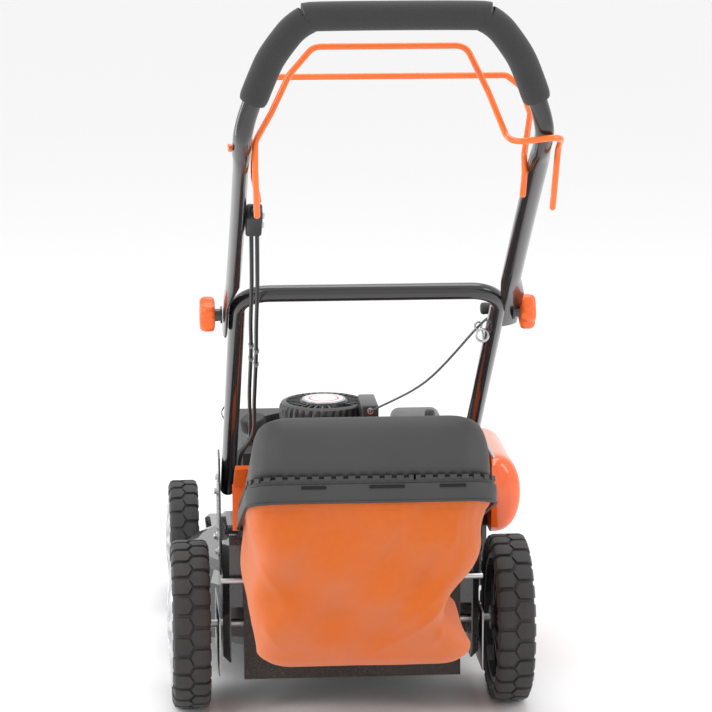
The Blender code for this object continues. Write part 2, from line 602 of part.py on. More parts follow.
swept("upper_handle", upper_path, upper_sizes, BLACK_TUBE, (1, 0, 0), HANDLE_SIDES,
      wall=TUBE_WALL * 0.8)
upper_ways = frames(upper_path, (1, 0, 0))


def foam_ring(i, radius):
    side, normal = upper_ways[i]
    turns = [2 * pi * j / HANDLE_SIDES for j in range(HANDLE_SIDES)]
    return [upper_path[i] + (side * cos(turn) + normal * sin(turn)) * radius for turn in turns]


foam_rows = list(range(grip_from, len(upper_path) - grip_from))
foam_rings = [foam_ring(i, GRIP_D / 2) for i in foam_rows]
foam_rings += [foam_ring(i, UPPER_TUBE_D / 2 + GAP) for i in reversed(foam_rows)]
loft("foam_grip", foam_rings, FOAM, hollow=True)


# ---- bails: two bent wires pivoting through the upper legs
BAIL_A_BACK = 0.0275
BAIL_B_BACK = 0.0815
BAIL_A = on_leg(0.0, leg_length - BAIL_A_BACK)
BAIL_B = on_leg(0.0, leg_length - BAIL_B_BACK)
rod_r = ROD_D / 2
upper_handle = bpy.data.objects["upper_handle"]


def x_rod(name, x0, x1, radius, pivot, look, count=12):
    return turned(name, [(0.0, x0), (radius, x0), (radius, x1), (0.0, x1)],
                  Vector((0.0, pivot.y, pivot.z)), (1, 0, 0), count, look)


LEG_IN = HALF_W - OVAL[0]
LEG_OUT = HALF_W + UPPER_TUBE_D / 2
for pivot, x0, x1 in ((BAIL_A, -0.23, -0.15), (BAIL_A, HALF_W, 0.23),
                      (BAIL_B, -HALF_W, -0.15), (BAIL_B, 0.15, HALF_W)):
    combine(upper_handle, x_rod("hole_tool", x0, x1, rod_r + BORE_GAP, pivot, BLACK_TUBE), "DIFFERENCE")


def near(pivot, x, dy, dz):
    return Vector((x, pivot.y + dy, pivot.z + dz))


CLEAR = LEG_IN - 0.0025 - rod_r
OUTSIDE = LEG_OUT + 0.0045 + rod_r
a_points = [near(BAIL_A, -CLEAR + 0.002, 0.004, -0.086), near(BAIL_A, -CLEAR, 0.003, -0.030),
            near(BAIL_A, -CLEAR, 0.000, 0.008), near(BAIL_A, -0.150, 0.010, 0.042),
            near(BAIL_A, -0.127, 0.025, 0.087), near(BAIL_A, -0.096, 0.035, 0.121),
            near(BAIL_A, 0.094, 0.035, 0.121), near(BAIL_A, 0.121, 0.022, 0.065),
            near(BAIL_A, 0.139, -0.022, 0.014), near(BAIL_A, 0.148, -0.040, 0.009),
            near(BAIL_A, OUTSIDE - 0.006, -0.040, 0.015), near(BAIL_A, OUTSIDE, -0.020, 0.009),
            near(BAIL_A, OUTSIDE, 0.005, -0.004), near(BAIL_A, OUTSIDE - 0.006, 0.006, -0.080)]
drive_bail = swept("drive_bail", rounded_path(a_points, 0.012, 2), rod_r, ORANGE, (1, 0, 0), 8,
                   origin=BAIL_A)


def add_stub(bail, x0, x1, pivot):
    """Join a pivot pin to a bail whose own zero is at its pivot."""
    pin = x_rod("stub_tool", x0, x1, rod_r, Vector((0, 0, 0)), ORANGE)
    pin.location = bail.location
    bpy.context.view_layer.update()
    combine(bail, pin, "UNION")


add_stub(drive_bail, -LEG_OUT - 0.006, -CLEAR, BAIL_A)
add_stub(drive_bail, HALF_W + 0.004, OUTSIDE, BAIL_A)

b_points = [near(BAIL_B, -CLEAR + 0.005, -0.010, -0.040), near(BAIL_B, -CLEAR, -0.002, -0.010),
            near(BAIL_B, -CLEAR, 0.004, 0.014), near(BAIL_B, -HALF_W + 0.006, 0.030, 0.062),
            near(BAIL_B, -0.172, 0.055, 0.094), near(BAIL_B, -0.154, 0.060, 0.108),
            near(BAIL_B, 0.154, 0.060, 0.108), near(BAIL_B, 0.172, 0.055, 0.094),
            near(BAIL_B, HALF_W - 0.006, 0.030, 0.062), near(BAIL_B, CLEAR, 0.004, 0.014),
            near(BAIL_B, CLEAR, -0.002, -0.010), near(BAIL_B, CLEAR - 0.003, -0.008, -0.036)]
stop_bail = swept("stop_bail", rounded_path(b_points, 0.010, 2), rod_r, ORANGE, (1, 0, 0), 8,
                  origin=BAIL_B)
add_stub(stop_bail, -HALF_W + 0.003, -CLEAR, BAIL_B)
add_stub(stop_bail, CLEAR, HALF_W - 0.003, BAIL_B)

# ---- star knobs on the fold axis, outside the upper legs
KNOB_FROM = FLAT_X + FLAT_T / 2 + GAP
STEM_L = 0.0115
HEAD_L = 0.020
knob_r = KNOB_D / 2
for tag, side in (("left", -1), ("right", 1)):
    pivot = at(side * KNOB_FROM, KNUCKLE_Y, KNUCKLE_Z)
    knob = turned("knob_" + tag, [(0.0, 0.0), (0.008, 0.0), (0.0095, STEM_L), (0.0, STEM_L)],
                  pivot, (side, 0, 0), 16, ORANGE_PLASTIC, origin=pivot)
    star = []
    for i in range(20):
        turn = 2 * pi * i / 20
        reach = knob_r * (0.90 + 0.10 * cos(5 * turn))
        star.append((pivot.y + reach * cos(turn), pivot.z + reach * sin(turn)))
    star_head = prism("star_tool", star, "X", pivot.x + side * (STEM_L - 0.002),
                      pivot.x + side * (STEM_L + HEAD_L), ORANGE_PLASTIC, bevel=0.003)
    combine(knob, star_head, "UNION")

# ---- cable clamp on the left upper leg, and the two control cables
slope_in = Vector((up_run.y, -up_run.x))
clamp_at = leg_length * 0.56
CLAMP_L = 0.050
CLAMP_D = 0.024


def beside_leg(x, distance, off):
    """A point next to the upper leg: along it, then square to it towards the front."""
    base = on_leg(x, distance)
    return Vector((x, base.y + slope_in.x * off, base.z + slope_in.y * off))


clamp_low = LEG_IN - GAP
clamp_high = LEG_IN - 0.022
corners = [beside_leg(0.0, clamp_at - CLAMP_L / 2, -CLAMP_D / 2),
           beside_leg(0.0, clamp_at + CLAMP_L / 2, -CLAMP_D / 2),
           beside_leg(0.0, clamp_at + CLAMP_L / 2, CLAMP_D / 2),
           beside_leg(0.0, clamp_at - CLAMP_L / 2, CLAMP_D / 2)]
prism("cable_clamp", [(c.y, c.z) for c in corners], "X", -clamp_low, -clamp_high, BLACK_PLASTIC,
      bevel=0.003)


def smooth(points, spacing):
    """Read points from a smooth curve through the given ones."""
    fine = []
    ends = [points[0] * 2 - points[1]] + points + [points[-1] * 2 - points[-2]]
    for p0, p1, p2, p3 in zip(ends, ends[1:], ends[2:], ends[3:]):
        for i in range(40):
            t = i / 40
            fine.append(0.5 * ((2 * p1) + (p2 - p0) * t + (2 * p0 - 5 * p1 + 4 * p2 - p3) * t * t
                               + (3 * p1 - p0 - 3 * p2 + p3) * t * t * t))
    fine.append(points[-1])
    total = sum((b - a).length for a, b in zip(fine, fine[1:]))
    wanted = max(3, int(total / spacing))
    kept = [fine[0]]
    walked = 0.0
    for a, b in zip(fine, fine[1:]):
        walked += (b - a).length
        if walked >= total * len(kept) / wanted and len(kept) < wanted:
            kept.append(b)
    kept.append(fine[-1])
    return kept


def cord(name, points, diameter, look, spacing=3.0):
    """A round cord through the points, with closed ends."""
    curve = bpy.data.curves.new(name, "CURVE")
    curve.dimensions = "3D"
    curve.bevel_depth = diameter / 2
    curve.bevel_resolution = 2
    curve.use_fill_caps = True
    path = smooth([Vector(p) for p in points], diameter * spacing)
    spline = curve.splines.new("POLY")
    spline.points.add(len(path) - 1)
    for slot, place in zip(spline.points, path):
        slot.co = (*place, 1.0)
    curve.materials.append(look)
    made = bpy.data.objects.new(name, curve)
    bpy.context.collection.objects.link(made)
    return made


mouth_a = beside_leg(-0.1685, clamp_at - CLAMP_L / 2 - 0.0020, 0.003)
mouth_b = beside_leg(-0.1610, clamp_at - CLAMP_L / 2 - 0.0020, 0.003)
cord("stop_cable_upper", [mouth_a, at(-0.1665, -0.500, 0.742), at(-0.1650, -0.440, 0.697),
                          at(-0.1643, -0.412, 0.6753)], CABLE_D, CABLE_BLACK)
cord("stop_cable_lower", [at(-0.1643, -0.4113, 0.6748), at(-0.1640, -0.3993, 0.6655),
                          at(-0.1610, -0.330, 0.612),
                          at(-0.1590, -0.220, 0.530), at(-0.1540, -0.120, 0.462),
                          at(-0.1500, -0.010, 0.420), at(-0.1460, 0.080, 0.395),
                          at(-0.1200, 0.110, 0.350), at(-0.1150, 0.135, 0.312),
                          at(-0.1150, 0.1590, 0.305)], CABLE_D, CABLE_BLACK)
cord("drive_cable_upper", [mouth_b, at(-0.1590, -0.500, 0.736), at(-0.1575, -0.440, 0.690),
                           at(-0.1569, -0.414, 0.6695)], CABLE_D, CABLE_BLACK)
cord("drive_cable_lower", [at(-0.1569, -0.4133, 0.6690), at(-0.1565, -0.4013, 0.6595),
                           at(-0.1540, -0.330, 0.604),
                           at(-0.1520, -0.220, 0.522), at(-0.1500, -0.120, 0.450),
                           at(-0.1640, 0.000, 0.385), at(-0.1640, 0.055, 0.330),
                           at(-0.1640, 0.085, 0.295), at(-0.1640, 0.095, HOUSING_TOP_Z + 0.003)],
     CABLE_D, CABLE_BLACK)

# ---- recoil starter: taut rope, the hook it runs through, and its T handle
LEG_NORMAL = Vector((-leg_run.y, leg_run.x))
if LEG_NORMAL.y < 0.0:
    LEG_NORMAL = -LEG_NORMAL


def on_lower(x, y_from_knuckle, off):
    """A point off the lower leg: along it from the knuckle, then square to it."""
    base_y = KNUCKLE_Y - leg_run.x * y_from_knuckle + LEG_NORMAL.x * off
    return at(x, base_y, KNUCKLE_Z - leg_run.y * y_from_knuckle + LEG_NORMAL.y * off)


LEG_SIDE = LOWER_LEG_X - TUBE_D / 2
HOOK_R = 0.0052
hook_centre = on_lower(LEG_SIDE - 0.0085, 0.062, 0.010)
hook = [on_lower(LEG_SIDE - 0.0022, 0.075, -0.004), on_lower(LEG_SIDE - 0.0022, 0.069, 0.002)]
for i in range(9):
    turn = -0.6 + 5.2 * i / 8
    hook.append(hook_centre + Vector((HOOK_R * cos(turn), -0.004 * i / 8 + 0.003,
                                      HOOK_R * sin(turn))))
swept("rope_hook", hook, 0.0016, STEEL, (1, 0, 0), 6)
T_R = 0.0085
T_AT = on_lower(0.190, 0.048, 0.0300)
grip_axis = Vector((1.0, 0.0, 0.0))
tee = turned("starter_handle",
             [(0.0, -0.027), (T_R - 0.002, -0.027), (T_R, -0.024), (T_R - 0.0015, 0.0),
              (T_R, 0.024), (T_R - 0.002, 0.027), (0.0, 0.027)], T_AT, grip_axis, 16, BLACK_PLASTIC,
             origin=T_AT)
rope_end = T_AT + Vector((-0.012, 0.010, -0.014)) * 0.72
cord("starter_rope", [at(OUTLET_X, OUTLET_Y - 0.0018, CAP_TOP_Z + 0.0055), at(0.110, -0.050, 0.507),
                      hook_centre + Vector((0, 0, -0.0012)), rope_end], ROPE_D, CABLE_BLACK)

# ---- rear discharge: flap, trailing shield and its rod
FLAP_HINGE = at(0.0, FLAP_HINGE_Y, FLAP_HINGE_Z)
FLAP_HALF_W = 0.176
WING_IN_X = 0.156
WING_BOTTOM_Z = 0.282
flap_side = [(0.004, -0.004), (0.004, 0.004), (-0.033, 0.0265), (-0.078, 0.0505), (-0.078, 0.0445),
             (-0.035, 0.0215), (-0.004, -0.002)]
flap = prism("rear_flap", [(FLAP_HINGE.y + y, FLAP_HINGE.z + z) for y, z in flap_side], "X",
             -FLAP_HALF_W, FLAP_HALF_W, ORANGE_PLASTIC, origin=FLAP_HINGE)
for side in (-1, 1):
    wing = block("wing_tool", at(side * WING_IN_X, FLAP_HINGE_Y - 0.007, WING_BOTTOM_Z),
                 at(side * (FLAP_HALF_W + 0.002), FLAP_HINGE_Y + 0.002, FLAP_HINGE_Z + 0.003),
                 ORANGE_PLASTIC)
    combine(flap, wing, "UNION")
SHIELD_ROD_Y = -0.0550
SHIELD_ROD_R = 0.004
rod_ends = BRACKET_X + BRACKET_T
x_rod("shield_rod", -rod_ends, rod_ends, SHIELD_ROD_R, at(0.0, SHIELD_ROD_Y, SHIELD_ROD_Z), STEEL)
SHIELD_HALF_W = 0.163
SHIELD_BOTTOM_Z = 0.057
eye = SHIELD_ROD_R + BORE_GAP
shield_pivot = at(0.0, SHIELD_ROD_Y, SHIELD_ROD_Z)
shield_side = [(0.003, -eye - 0.001), (0.003, -0.070), (-0.004, SHIELD_BOTTOM_Z - SHIELD_ROD_Z),
               (-0.009, SHIELD_BOTTOM_Z - SHIELD_ROD_Z), (-0.003, -0.072), (-0.003, -eye - 0.001)]
prism("trailing_shield", [(shield_pivot.y + y, shield_pivot.z + z) for y, z in shield_side], "X",
      -SHIELD_HALF_W, SHIELD_HALF_W, SHIELD_RUBBER, origin=shield_pivot)

# ---- grass bag: plastic lid and rim over a cloth tub, open at the front mouth
RIM_REAR = (-0.450, 0.455)
RIM_FRONT = (-0.078, 0.320)
RIM_H = 0.030
BAG_ZERO = at(0.0, -0.250, 0.360)


def rim_line(y):
    share = (y - RIM_REAR[0]) / (RIM_FRONT[0] - RIM_REAR[0])
    return RIM_REAR[1] + (RIM_FRONT[1] - RIM_REAR[1]) * share


def plan(half_w, rear, front, corner):
    """Half of the lid's plan outline, rear to front, as (x, y) points."""
    return [(half_w - corner * 1.2, rear), (half_w - corner * 0.35, rear + corner * 0.3),
            (half_w, rear + corner), (half_w, (rear + front) / 2), (half_w, front - corner * 0.6),
            (half_w - corner * 0.4, front)]


def closed_ring(points, height):
    """A full ring from a half outline, with a height for each point."""
    right = [Vector((x, y + REAR_AXLE_Y, height(y))) for x, y in points]
    left = [Vector((-p.x, p.y, p.z)) for p in reversed(right)]
    return right + left


BAG_REAR = RIM_REAR[0]
BAG_FRONT = RIM_FRONT[0]
lid_rings = [
    closed_ring(plan(BAG_HALF_W, BAG_REAR, BAG_FRONT, 0.045), lambda y: rim_line(y) - RIM_H),
    closed_ring(plan(BAG_HALF_W, BAG_REAR, BAG_FRONT, 0.045), rim_line),
    closed_ring(plan(BAG_HALF_W - 0.008, BAG_REAR + 0.004, BAG_FRONT + 0.001, 0.045),
                lambda y: rim_line(y) + 0.006),
    closed_ring(plan(BAG_HALF_W - 0.013, BAG_REAR + 0.045, BAG_FRONT + 0.004, 0.040),
                lambda y: rim_line(y) + 0.058 - 0.030 * (y - BAG_REAR) / (BAG_FRONT - BAG_REAR)),
    closed_ring(plan(BAG_HALF_W - 0.040, BAG_REAR + 0.088, BAG_FRONT + 0.006, 0.030),
                lambda y: LID_CREST_Z + (0.366 - LID_CREST_Z) * (y + 0.362) / 0.290)]
LID_WALL = 0.003
inner_rings = [
    closed_ring(plan(BAG_HALF_W - 0.043, BAG_REAR + 0.091, BAG_FRONT + 0.003, 0.028),
                lambda y: LID_CREST_Z - LID_WALL + (0.366 - LID_CREST_Z) * (y + 0.362) / 0.290),
    closed_ring(plan(BAG_HALF_W - 0.016, BAG_REAR + 0.048, BAG_FRONT + 0.001, 0.038),
                lambda y: rim_line(y) + 0.054 - 0.030 * (y - BAG_REAR) / (BAG_FRONT - BAG_REAR)),
    closed_ring(plan(BAG_HALF_W - 0.012, BAG_REAR + 0.008, BAG_FRONT - 0.003, 0.043),
                lambda y: rim_line(y) + 0.003),
    closed_ring(plan(BAG_HALF_W - LID_WALL, BAG_REAR + LID_WALL, BAG_FRONT - LID_WALL, 0.043),
                lambda y: rim_line(y) - 0.006),
    closed_ring(plan(BAG_HALF_W - LID_WALL, BAG_REAR + LID_WALL, BAG_FRONT - LID_WALL, 0.043),
                lambda y: rim_line(y) - RIM_H)]
verts = [p for ring in lid_rings + inner_rings for p in ring]
n = len(lid_rings[0])
rows = len(lid_rings) + len(inner_rings)
outer_rows = len(lid_rings)
faces = []
for i in range(rows):
    if i == outer_rows - 1:
        continue
    a = i * n
    b = ((i + 1) % rows) * n
    for j in range(n):
        k = (j + 1) % n
        faces.append((a + j, a + k, b + k, b + j))
faces.append(tuple(range((outer_rows - 1) * n, outer_rows * n)))
faces.append(tuple(range(outer_rows * n, (outer_rows + 1) * n)))
body_object("bag_lid", verts, faces, GREY_PLASTIC, BAG_ZERO)

# the cloth tub hangs inside the rim; each half outline runs rear to front at its own depth
TUB_TOP = 0.012
MOUTH_LOW_Z = 0.208
tub_levels = [(0.000, BAG_HALF_W - LID_WALL - 0.0015, BAG_REAR + 0.006, BAG_FRONT - 0.006, 0.043),
              (0.250, 0.168, BAG_REAR + 0.018, BAG_FRONT - 0.006, 0.046),
              (0.550, 0.166, BAG_REAR + 0.050, BAG_FRONT - 0.008, 0.048),
              (0.800, 0.163, BAG_REAR + 0.085, BAG_FRONT - 0.012, 0.046),
              (0.940, 0.156, BAG_REAR + 0.112, BAG_FRONT - 0.018, 0.044),
              (1.000, 0.130, BAG_REAR + 0.140, BAG_FRONT - 0.045, 0.040)]
BAG_BOTTOM_REAR_Z = 0.140
BAG_BOTTOM_FRONT_Z = 0.175


def tub_ring(depth, half_w, rear, front, corner, less):
    def height(y):
        top = rim_line(y) - TUB_TOP
        share = (y - BAG_REAR) / (BAG_FRONT - BAG_REAR)
        low = BAG_BOTTOM_REAR_Z + (BAG_BOTTOM_FRONT_Z - BAG_BOTTOM_REAR_Z) * share
        return top + (low + less - top) * depth
    return closed_ring(plan(half_w - less, rear + less, front - less, corner), height)


outer_tub = [tub_ring(*level, 0.0) for level in tub_levels]
inner_tub = [tub_ring(*level, CLOTH) for level in tub_levels]
tub_rings = list(reversed(outer_tub)) + inner_tub
count = len(tub_rings[0])
verts = [p for ring in tub_rings for p in ring]
faces = []
for i in range(len(tub_rings) - 1):
    for j in range(count):
        k = (j + 1) % count
        faces.append((i * count + j, i * count + k, (i + 1) * count + k, (i + 1) * count + j))
faces.append(tuple(range(count)))
faces.append(tuple(range(len(verts) - count, len(verts))))
cloth = body_object("bag_cloth", verts, faces, ORANGE_CLOTH, BAG_ZERO)
mouth = block("mouth_tool", at(-0.125, BAG_FRONT - 0.060, MOUTH_LOW_Z),
              at(0.125, BAG_FRONT + 0.03, 0.281), ORANGE_CLOTH)
combine(cloth, mouth, "DIFFERENCE")

# ---- round pieces are smooth, with their real edges kept sharp
for item in bpy.data.objects:
    if item.type != "MESH":
        continue
    item.data.shade_smooth()
    item.data.set_sharp_from_angle(angle=radians(32.0))
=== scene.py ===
import bpy
import bmesh
from math import pi, sin, cos, radians, sqrt, exp
from mathutils import Euler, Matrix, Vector, noise


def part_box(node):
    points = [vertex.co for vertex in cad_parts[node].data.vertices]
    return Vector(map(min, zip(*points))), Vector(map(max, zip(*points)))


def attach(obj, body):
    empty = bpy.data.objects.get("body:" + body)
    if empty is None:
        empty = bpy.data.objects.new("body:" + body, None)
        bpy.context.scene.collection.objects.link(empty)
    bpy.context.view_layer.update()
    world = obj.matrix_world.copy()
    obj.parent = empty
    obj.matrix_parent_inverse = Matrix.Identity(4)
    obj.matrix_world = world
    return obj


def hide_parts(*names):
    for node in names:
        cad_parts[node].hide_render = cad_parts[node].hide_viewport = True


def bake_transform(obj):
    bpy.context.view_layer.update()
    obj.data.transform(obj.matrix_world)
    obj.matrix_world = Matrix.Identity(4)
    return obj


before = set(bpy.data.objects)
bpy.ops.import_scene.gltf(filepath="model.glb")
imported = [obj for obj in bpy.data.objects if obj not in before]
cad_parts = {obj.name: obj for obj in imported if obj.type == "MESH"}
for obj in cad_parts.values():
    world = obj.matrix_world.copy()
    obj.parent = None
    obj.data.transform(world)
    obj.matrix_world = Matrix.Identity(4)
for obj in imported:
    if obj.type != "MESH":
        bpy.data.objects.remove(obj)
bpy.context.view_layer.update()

camera_data = bpy.data.cameras.new("camera")
camera = bpy.data.objects.new("camera", camera_data)
bpy.context.scene.collection.objects.link(camera)
camera_data.lens = 155.5
camera_data.sensor_width = 36.0
camera_data.clip_end = 200.0
camera.location = (-0.336, -4.445, 1.454)
aim = Vector((0.010, 0.0493, 0.537)) - camera.location
camera.rotation_euler = aim.to_track_quat("-Z", "Y").to_euler()
bpy.context.scene.camera = camera

world = bpy.data.worlds.new("studio")
world.use_nodes = True
world.node_tree.nodes["Background"].inputs["Color"].default_value = (1.0, 1.0, 1.0, 1.0)
world.node_tree.nodes["Background"].inputs["Strength"].default_value = 1.0
bpy.context.scene.world = world
bpy.context.scene.view_settings.view_transform = "Standard"


def soft_box(name, place, target, size, watts):
    """A square area light aimed at a point."""
    data = bpy.data.lights.new(name, "AREA")
    data.shape = "RECTANGLE"
    data.size, data.size_y = size
    data.energy = watts
    lamp = bpy.data.objects.new(name, data)
    lamp.location = place
    lamp.rotation_euler = (Vector(target) - Vector(place)).to_track_quat("-Z", "Y").to_euler()
    bpy.context.scene.collection.objects.link(lamp)


soft_box("key_box", (-2.2, -2.6, 3.0), (0, 0, 0.4), (1.6, 1.6), 40)
soft_box("right_box", (2.8, -1.6, 1.9), (0, 0, 0.5), (1.0, 2.2), 24)
soft_box("top_box", (0.2, 0.6, 3.4), (0, 0, 0.3), (2.4, 1.6), 34)
soft_box("left_strip", (-2.4, 0.4, 0.9), (0, 0, 0.4), (0.5, 1.8), 14)


class Tap:
    """One output of a shader node. Sums and products of taps add Math nodes."""

    def __init__(self, tree, out=None):
        self.tree = tree
        self.out = out

    def node(self, kind, settings=None, sockets=None, out=0):
        made = self.tree.nodes.new(kind)
        for key, value in (settings or {}).items():
            if key != "stops":
                setattr(made, key, value)
                continue
            ramp = made.color_ramp
            while len(ramp.elements) < len(value):
                ramp.elements.new(0.5)
            for stop, (position, colour) in zip(ramp.elements, value):
                stop.position = position
                stop.color = colour
        for key, value in (sockets or {}).items():
            if isinstance(value, Tap):
                self.tree.links.new(value.out, made.inputs[key])
            else:
                made.inputs[key].default_value = value
        return Tap(self.tree, made.outputs[out])

    def maths(self, operation, *values):
        return self.node("ShaderNodeMath", {"operation": operation}, dict(enumerate(values)))

    def __add__(self, other):
        return self.maths("ADD", self, other)

    def __sub__(self, other):
        return self.maths("SUBTRACT", self, other)

    def __rsub__(self, other):
        return self.maths("SUBTRACT", other, self)

    def __mul__(self, other):
        return self.maths("MULTIPLY", self, other)

    def __pow__(self, other):
        return self.maths("POWER", self, other)

    __radd__ = __add__
    __rmul__ = __mul__


def tint(start, factor, one, two):
    """Mix two colours by a factor."""
    ends = {0: factor, 6: one if isinstance(one, Tap) else (*one, 1.0),
        7: two if isinstance(two, Tap) else (*two, 1.0)}
    return start.node("ShaderNodeMix", {"data_type": "RGBA"}, ends, 2)


def mottle(start, place, scale, detail=3.0, rough=0.55):
    """Soft random patches between 0 and 1."""
    return start.node("ShaderNodeTexNoise", None, {"Vector": place, "Scale": scale, "Detail": detail,
        "Roughness": rough}, "Fac")


def open_look(name, metal=0.0, coat=0.0, coat_rough=0.05, sheen=0.0):
    """A new material with its shader, a first tap and object coordinates."""
    look = bpy.data.materials.new(name)
    look.use_nodes = True
    shader = look.node_tree.nodes["Principled BSDF"]
    shader.inputs["Metallic"].default_value = metal
    shader.inputs["Coat Weight"].default_value = coat
    shader.inputs["Coat Roughness"].default_value = coat_rough
    shader.inputs["Sheen Weight"].default_value = sheen
    start = Tap(look.node_tree)
    place = start.node("ShaderNodeTexCoord", out="Object")
    return look, shader, start, place


def close_look(look, shader, colour, rough, height=None, strength=0.3, depth=0.001):
    """Join colour, roughness and surface height to the shader."""
    links = look.node_tree.links
    links.new(colour.out, shader.inputs["Base Color"])
    links.new(rough.out, shader.inputs["Roughness"])
    if height is not None:
        bump = height.node("ShaderNodeBump", None, {"Strength": strength, "Distance": depth, "Height": height})
        links.new(bump.out, shader.inputs["Normal"])
    return look


def moulded(name, light, dark, rough, grain=900.0, strength=0.25, metal=0.0, coat=0.0, patch=14.0,
        rough_swing=0.12, sheen=0.0):
    """Moulded, cast or painted stuff: patchy tone, wiped gloss and a fine skin."""
    look, shader, start, place = open_look(name, metal, coat, sheen=sheen)
    patches = mottle(start, place, patch)
    fine = mottle(start, place, grain, 2.0)
    colour = tint(start, patches * 0.75 + fine * 0.25, dark, light)
    worn = mottle(start, place, patch * 3.1, 4.0, 0.65)
    return close_look(look, shader, colour, worn * rough_swing + (rough - rough_swing / 2), fine, strength,
        0.0006)


floor_look = moulded("floor_paper", (0.92, 0.92, 0.92), (0.90, 0.90, 0.905), 0.85, 60.0, 0.02, patch=0.4)
floor_mesh = bpy.data.meshes.new("floor")
floor_mesh.from_pydata([(-40, -40, 0), (40, -40, 0), (40, 60, 0), (-40, 60, 0)], [], [(0, 1, 2, 3)])
floor = bpy.data.objects.new("floor", floor_mesh)
floor_mesh.materials.append(floor_look)
bpy.context.scene.collection.objects.link(floor)

# ---- Starter rope and control cables
# A braided pull rope runs taut from the recoil cap to the hook on the right leg.
# Two black sheathed cables run from the clamp on the left leg to the engine and the gearbox.
REAR_AXLE_Y = 0.0493


def at(x, y, z):
    """A point given from the rear axle."""
    return Vector((x, y + REAR_AXLE_Y, z))


def wear(look, *nodes):
    """Give a finish to nodes whose shape is already right."""
    for name in nodes:
        item = bpy.data.objects[name]
        item.data.materials.clear()
        item.data.materials.append(look)


cable_look = moulded("cable_sheath", (0.020, 0.020, 0.021), (0.010, 0.010, 0.010), 0.42, 1500.0, 0.1)
look, shader, start, place = open_look("rope_braid")
strands = start.node("ShaderNodeTexWave", {"wave_type": "BANDS", "bands_direction": "DIAGONAL"},
    {"Vector": place, "Scale": 260.0, "Distortion": 1.5, "Detail": 1.0}, "Fac")
close_look(look, shader, tint(start, strands, (0.05, 0.05, 0.052), (0.20, 0.20, 0.20)), strands * 0.1 + 0.7,
    strands, 0.6, 0.0005)
rope_look = look
wear(cable_look, "drive_belt")
wear(rope_look, "starter_rope")

# ---- Handle tubes
# Two bent steel tubes in gloss black powder enamel, the upper one flattened where the knobs clamp it.
# The open frame folds at the knobs; the legs are oval up to the bend and round above it.
KNUCKLE_Y = -0.340
KNUCKLE_Z = 0.667
LOWER_LEG_X = 0.180
TUBE_R = 0.0115


def shape(name, verts, faces, look, body, stands_for=(), smooth=40.0):
    """A mesh piece, riding on a body, in place of the nodes it stands for."""
    mesh = bpy.data.meshes.new(name)
    mesh.from_pydata([tuple(v) for v in verts], [], faces)
    mesh.materials.append(look)
    skin = bmesh.new()
    skin.from_mesh(mesh)
    bmesh.ops.recalc_face_normals(skin, faces=skin.faces)
    skin.to_mesh(mesh)
    skin.free()
    mesh.shade_smooth()
    if smooth:
        mesh.set_sharp_from_angle(angle=radians(smooth))
    piece = bpy.data.objects.new(name, mesh)
    bpy.context.scene.collection.objects.link(piece)
    if body:
        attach(piece, body)
    if stands_for:
        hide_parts(*stands_for)
    return piece


def skinned(rings, caps=True, hollow=False):
    """Points and faces of a row of equal rings."""
    count = len(rings[0])
    verts = [p for ring in rings for p in ring]
    faces = []
    for i in range(len(rings) if hollow else len(rings) - 1):
        a = i * count
        b = ((i + 1) % len(rings)) * count
        faces += [(a + j, a + (j + 1) % count, b + (j + 1) % count, b + j) for j in range(count)]
    if caps and not hollow:
        faces.append(tuple(range(count)))
        faces.append(tuple(range(len(verts) - count, len(verts))))
    return verts, faces


def brick_faces(o):
    """The six faces of a block whose corners o to o + 7 are a low and a high ring of four."""
    sides = [(o + k, o + (k + 1) % 4, o + 4 + (k + 1) % 4, o + 4 + k) for k in range(4)]
    return [(o, o + 3, o + 2, o + 1), (o + 4, o + 5, o + 6, o + 7)] + sides


def frames(path, guide=(1, 0, 0)):
    """A side and a normal direction at each point of a path, carried without twist."""
    found = []
    side = Vector(guide)
    for i, point in enumerate(path):
        ahead = path[min(i + 1, len(path) - 1)]
        behind = path[max(i - 1, 0)]
        along = (ahead - behind).normalized()
        side = (side - along * side.dot(along)).normalized()
        found.append((side.copy(), along.cross(side)))
    return found


def tube_rings(path, sizes, count, guide=(1, 0, 0)):
    """Rings along a path; sizes is a radius or one (side, normal) pair for each point."""
    pairs = sizes if isinstance(sizes, list) else [(sizes, sizes)] * len(path)
    rings = []
    for point, (side, normal), (a, b) in zip(path, frames(path, guide), pairs):
        rings.append([point + side * (a * cos(2 * pi * j / count))
            + normal * (b * sin(2 * pi * j / count)) for j in range(count)])
    return rings


def rounded_path(corners, radius, steps=8):
    """A polyline with each inner corner replaced by an arc."""
    path = [Vector(corners[0])]
    for before, here, after in zip(corners, corners[1:], corners[2:]):
        here = Vector(here)
        into = (here - Vector(before)).normalized()
        out = (Vector(after) - here).normalized()
        turn = into.angle(out)
        if turn < radians(3.0):
            path.append(here)
            continue
        cut = radius * sin(turn / 2) / cos(turn / 2)
        centre = here + (out - into).normalized() * (radius / cos(turn / 2))
        first = (here - into * cut - centre).normalized()
        last = (here + out * cut - centre).normalized()
        path += [centre + first.slerp(last, i / steps) * radius for i in range(steps + 1)]
    path.append(Vector(corners[-1]))
    return path


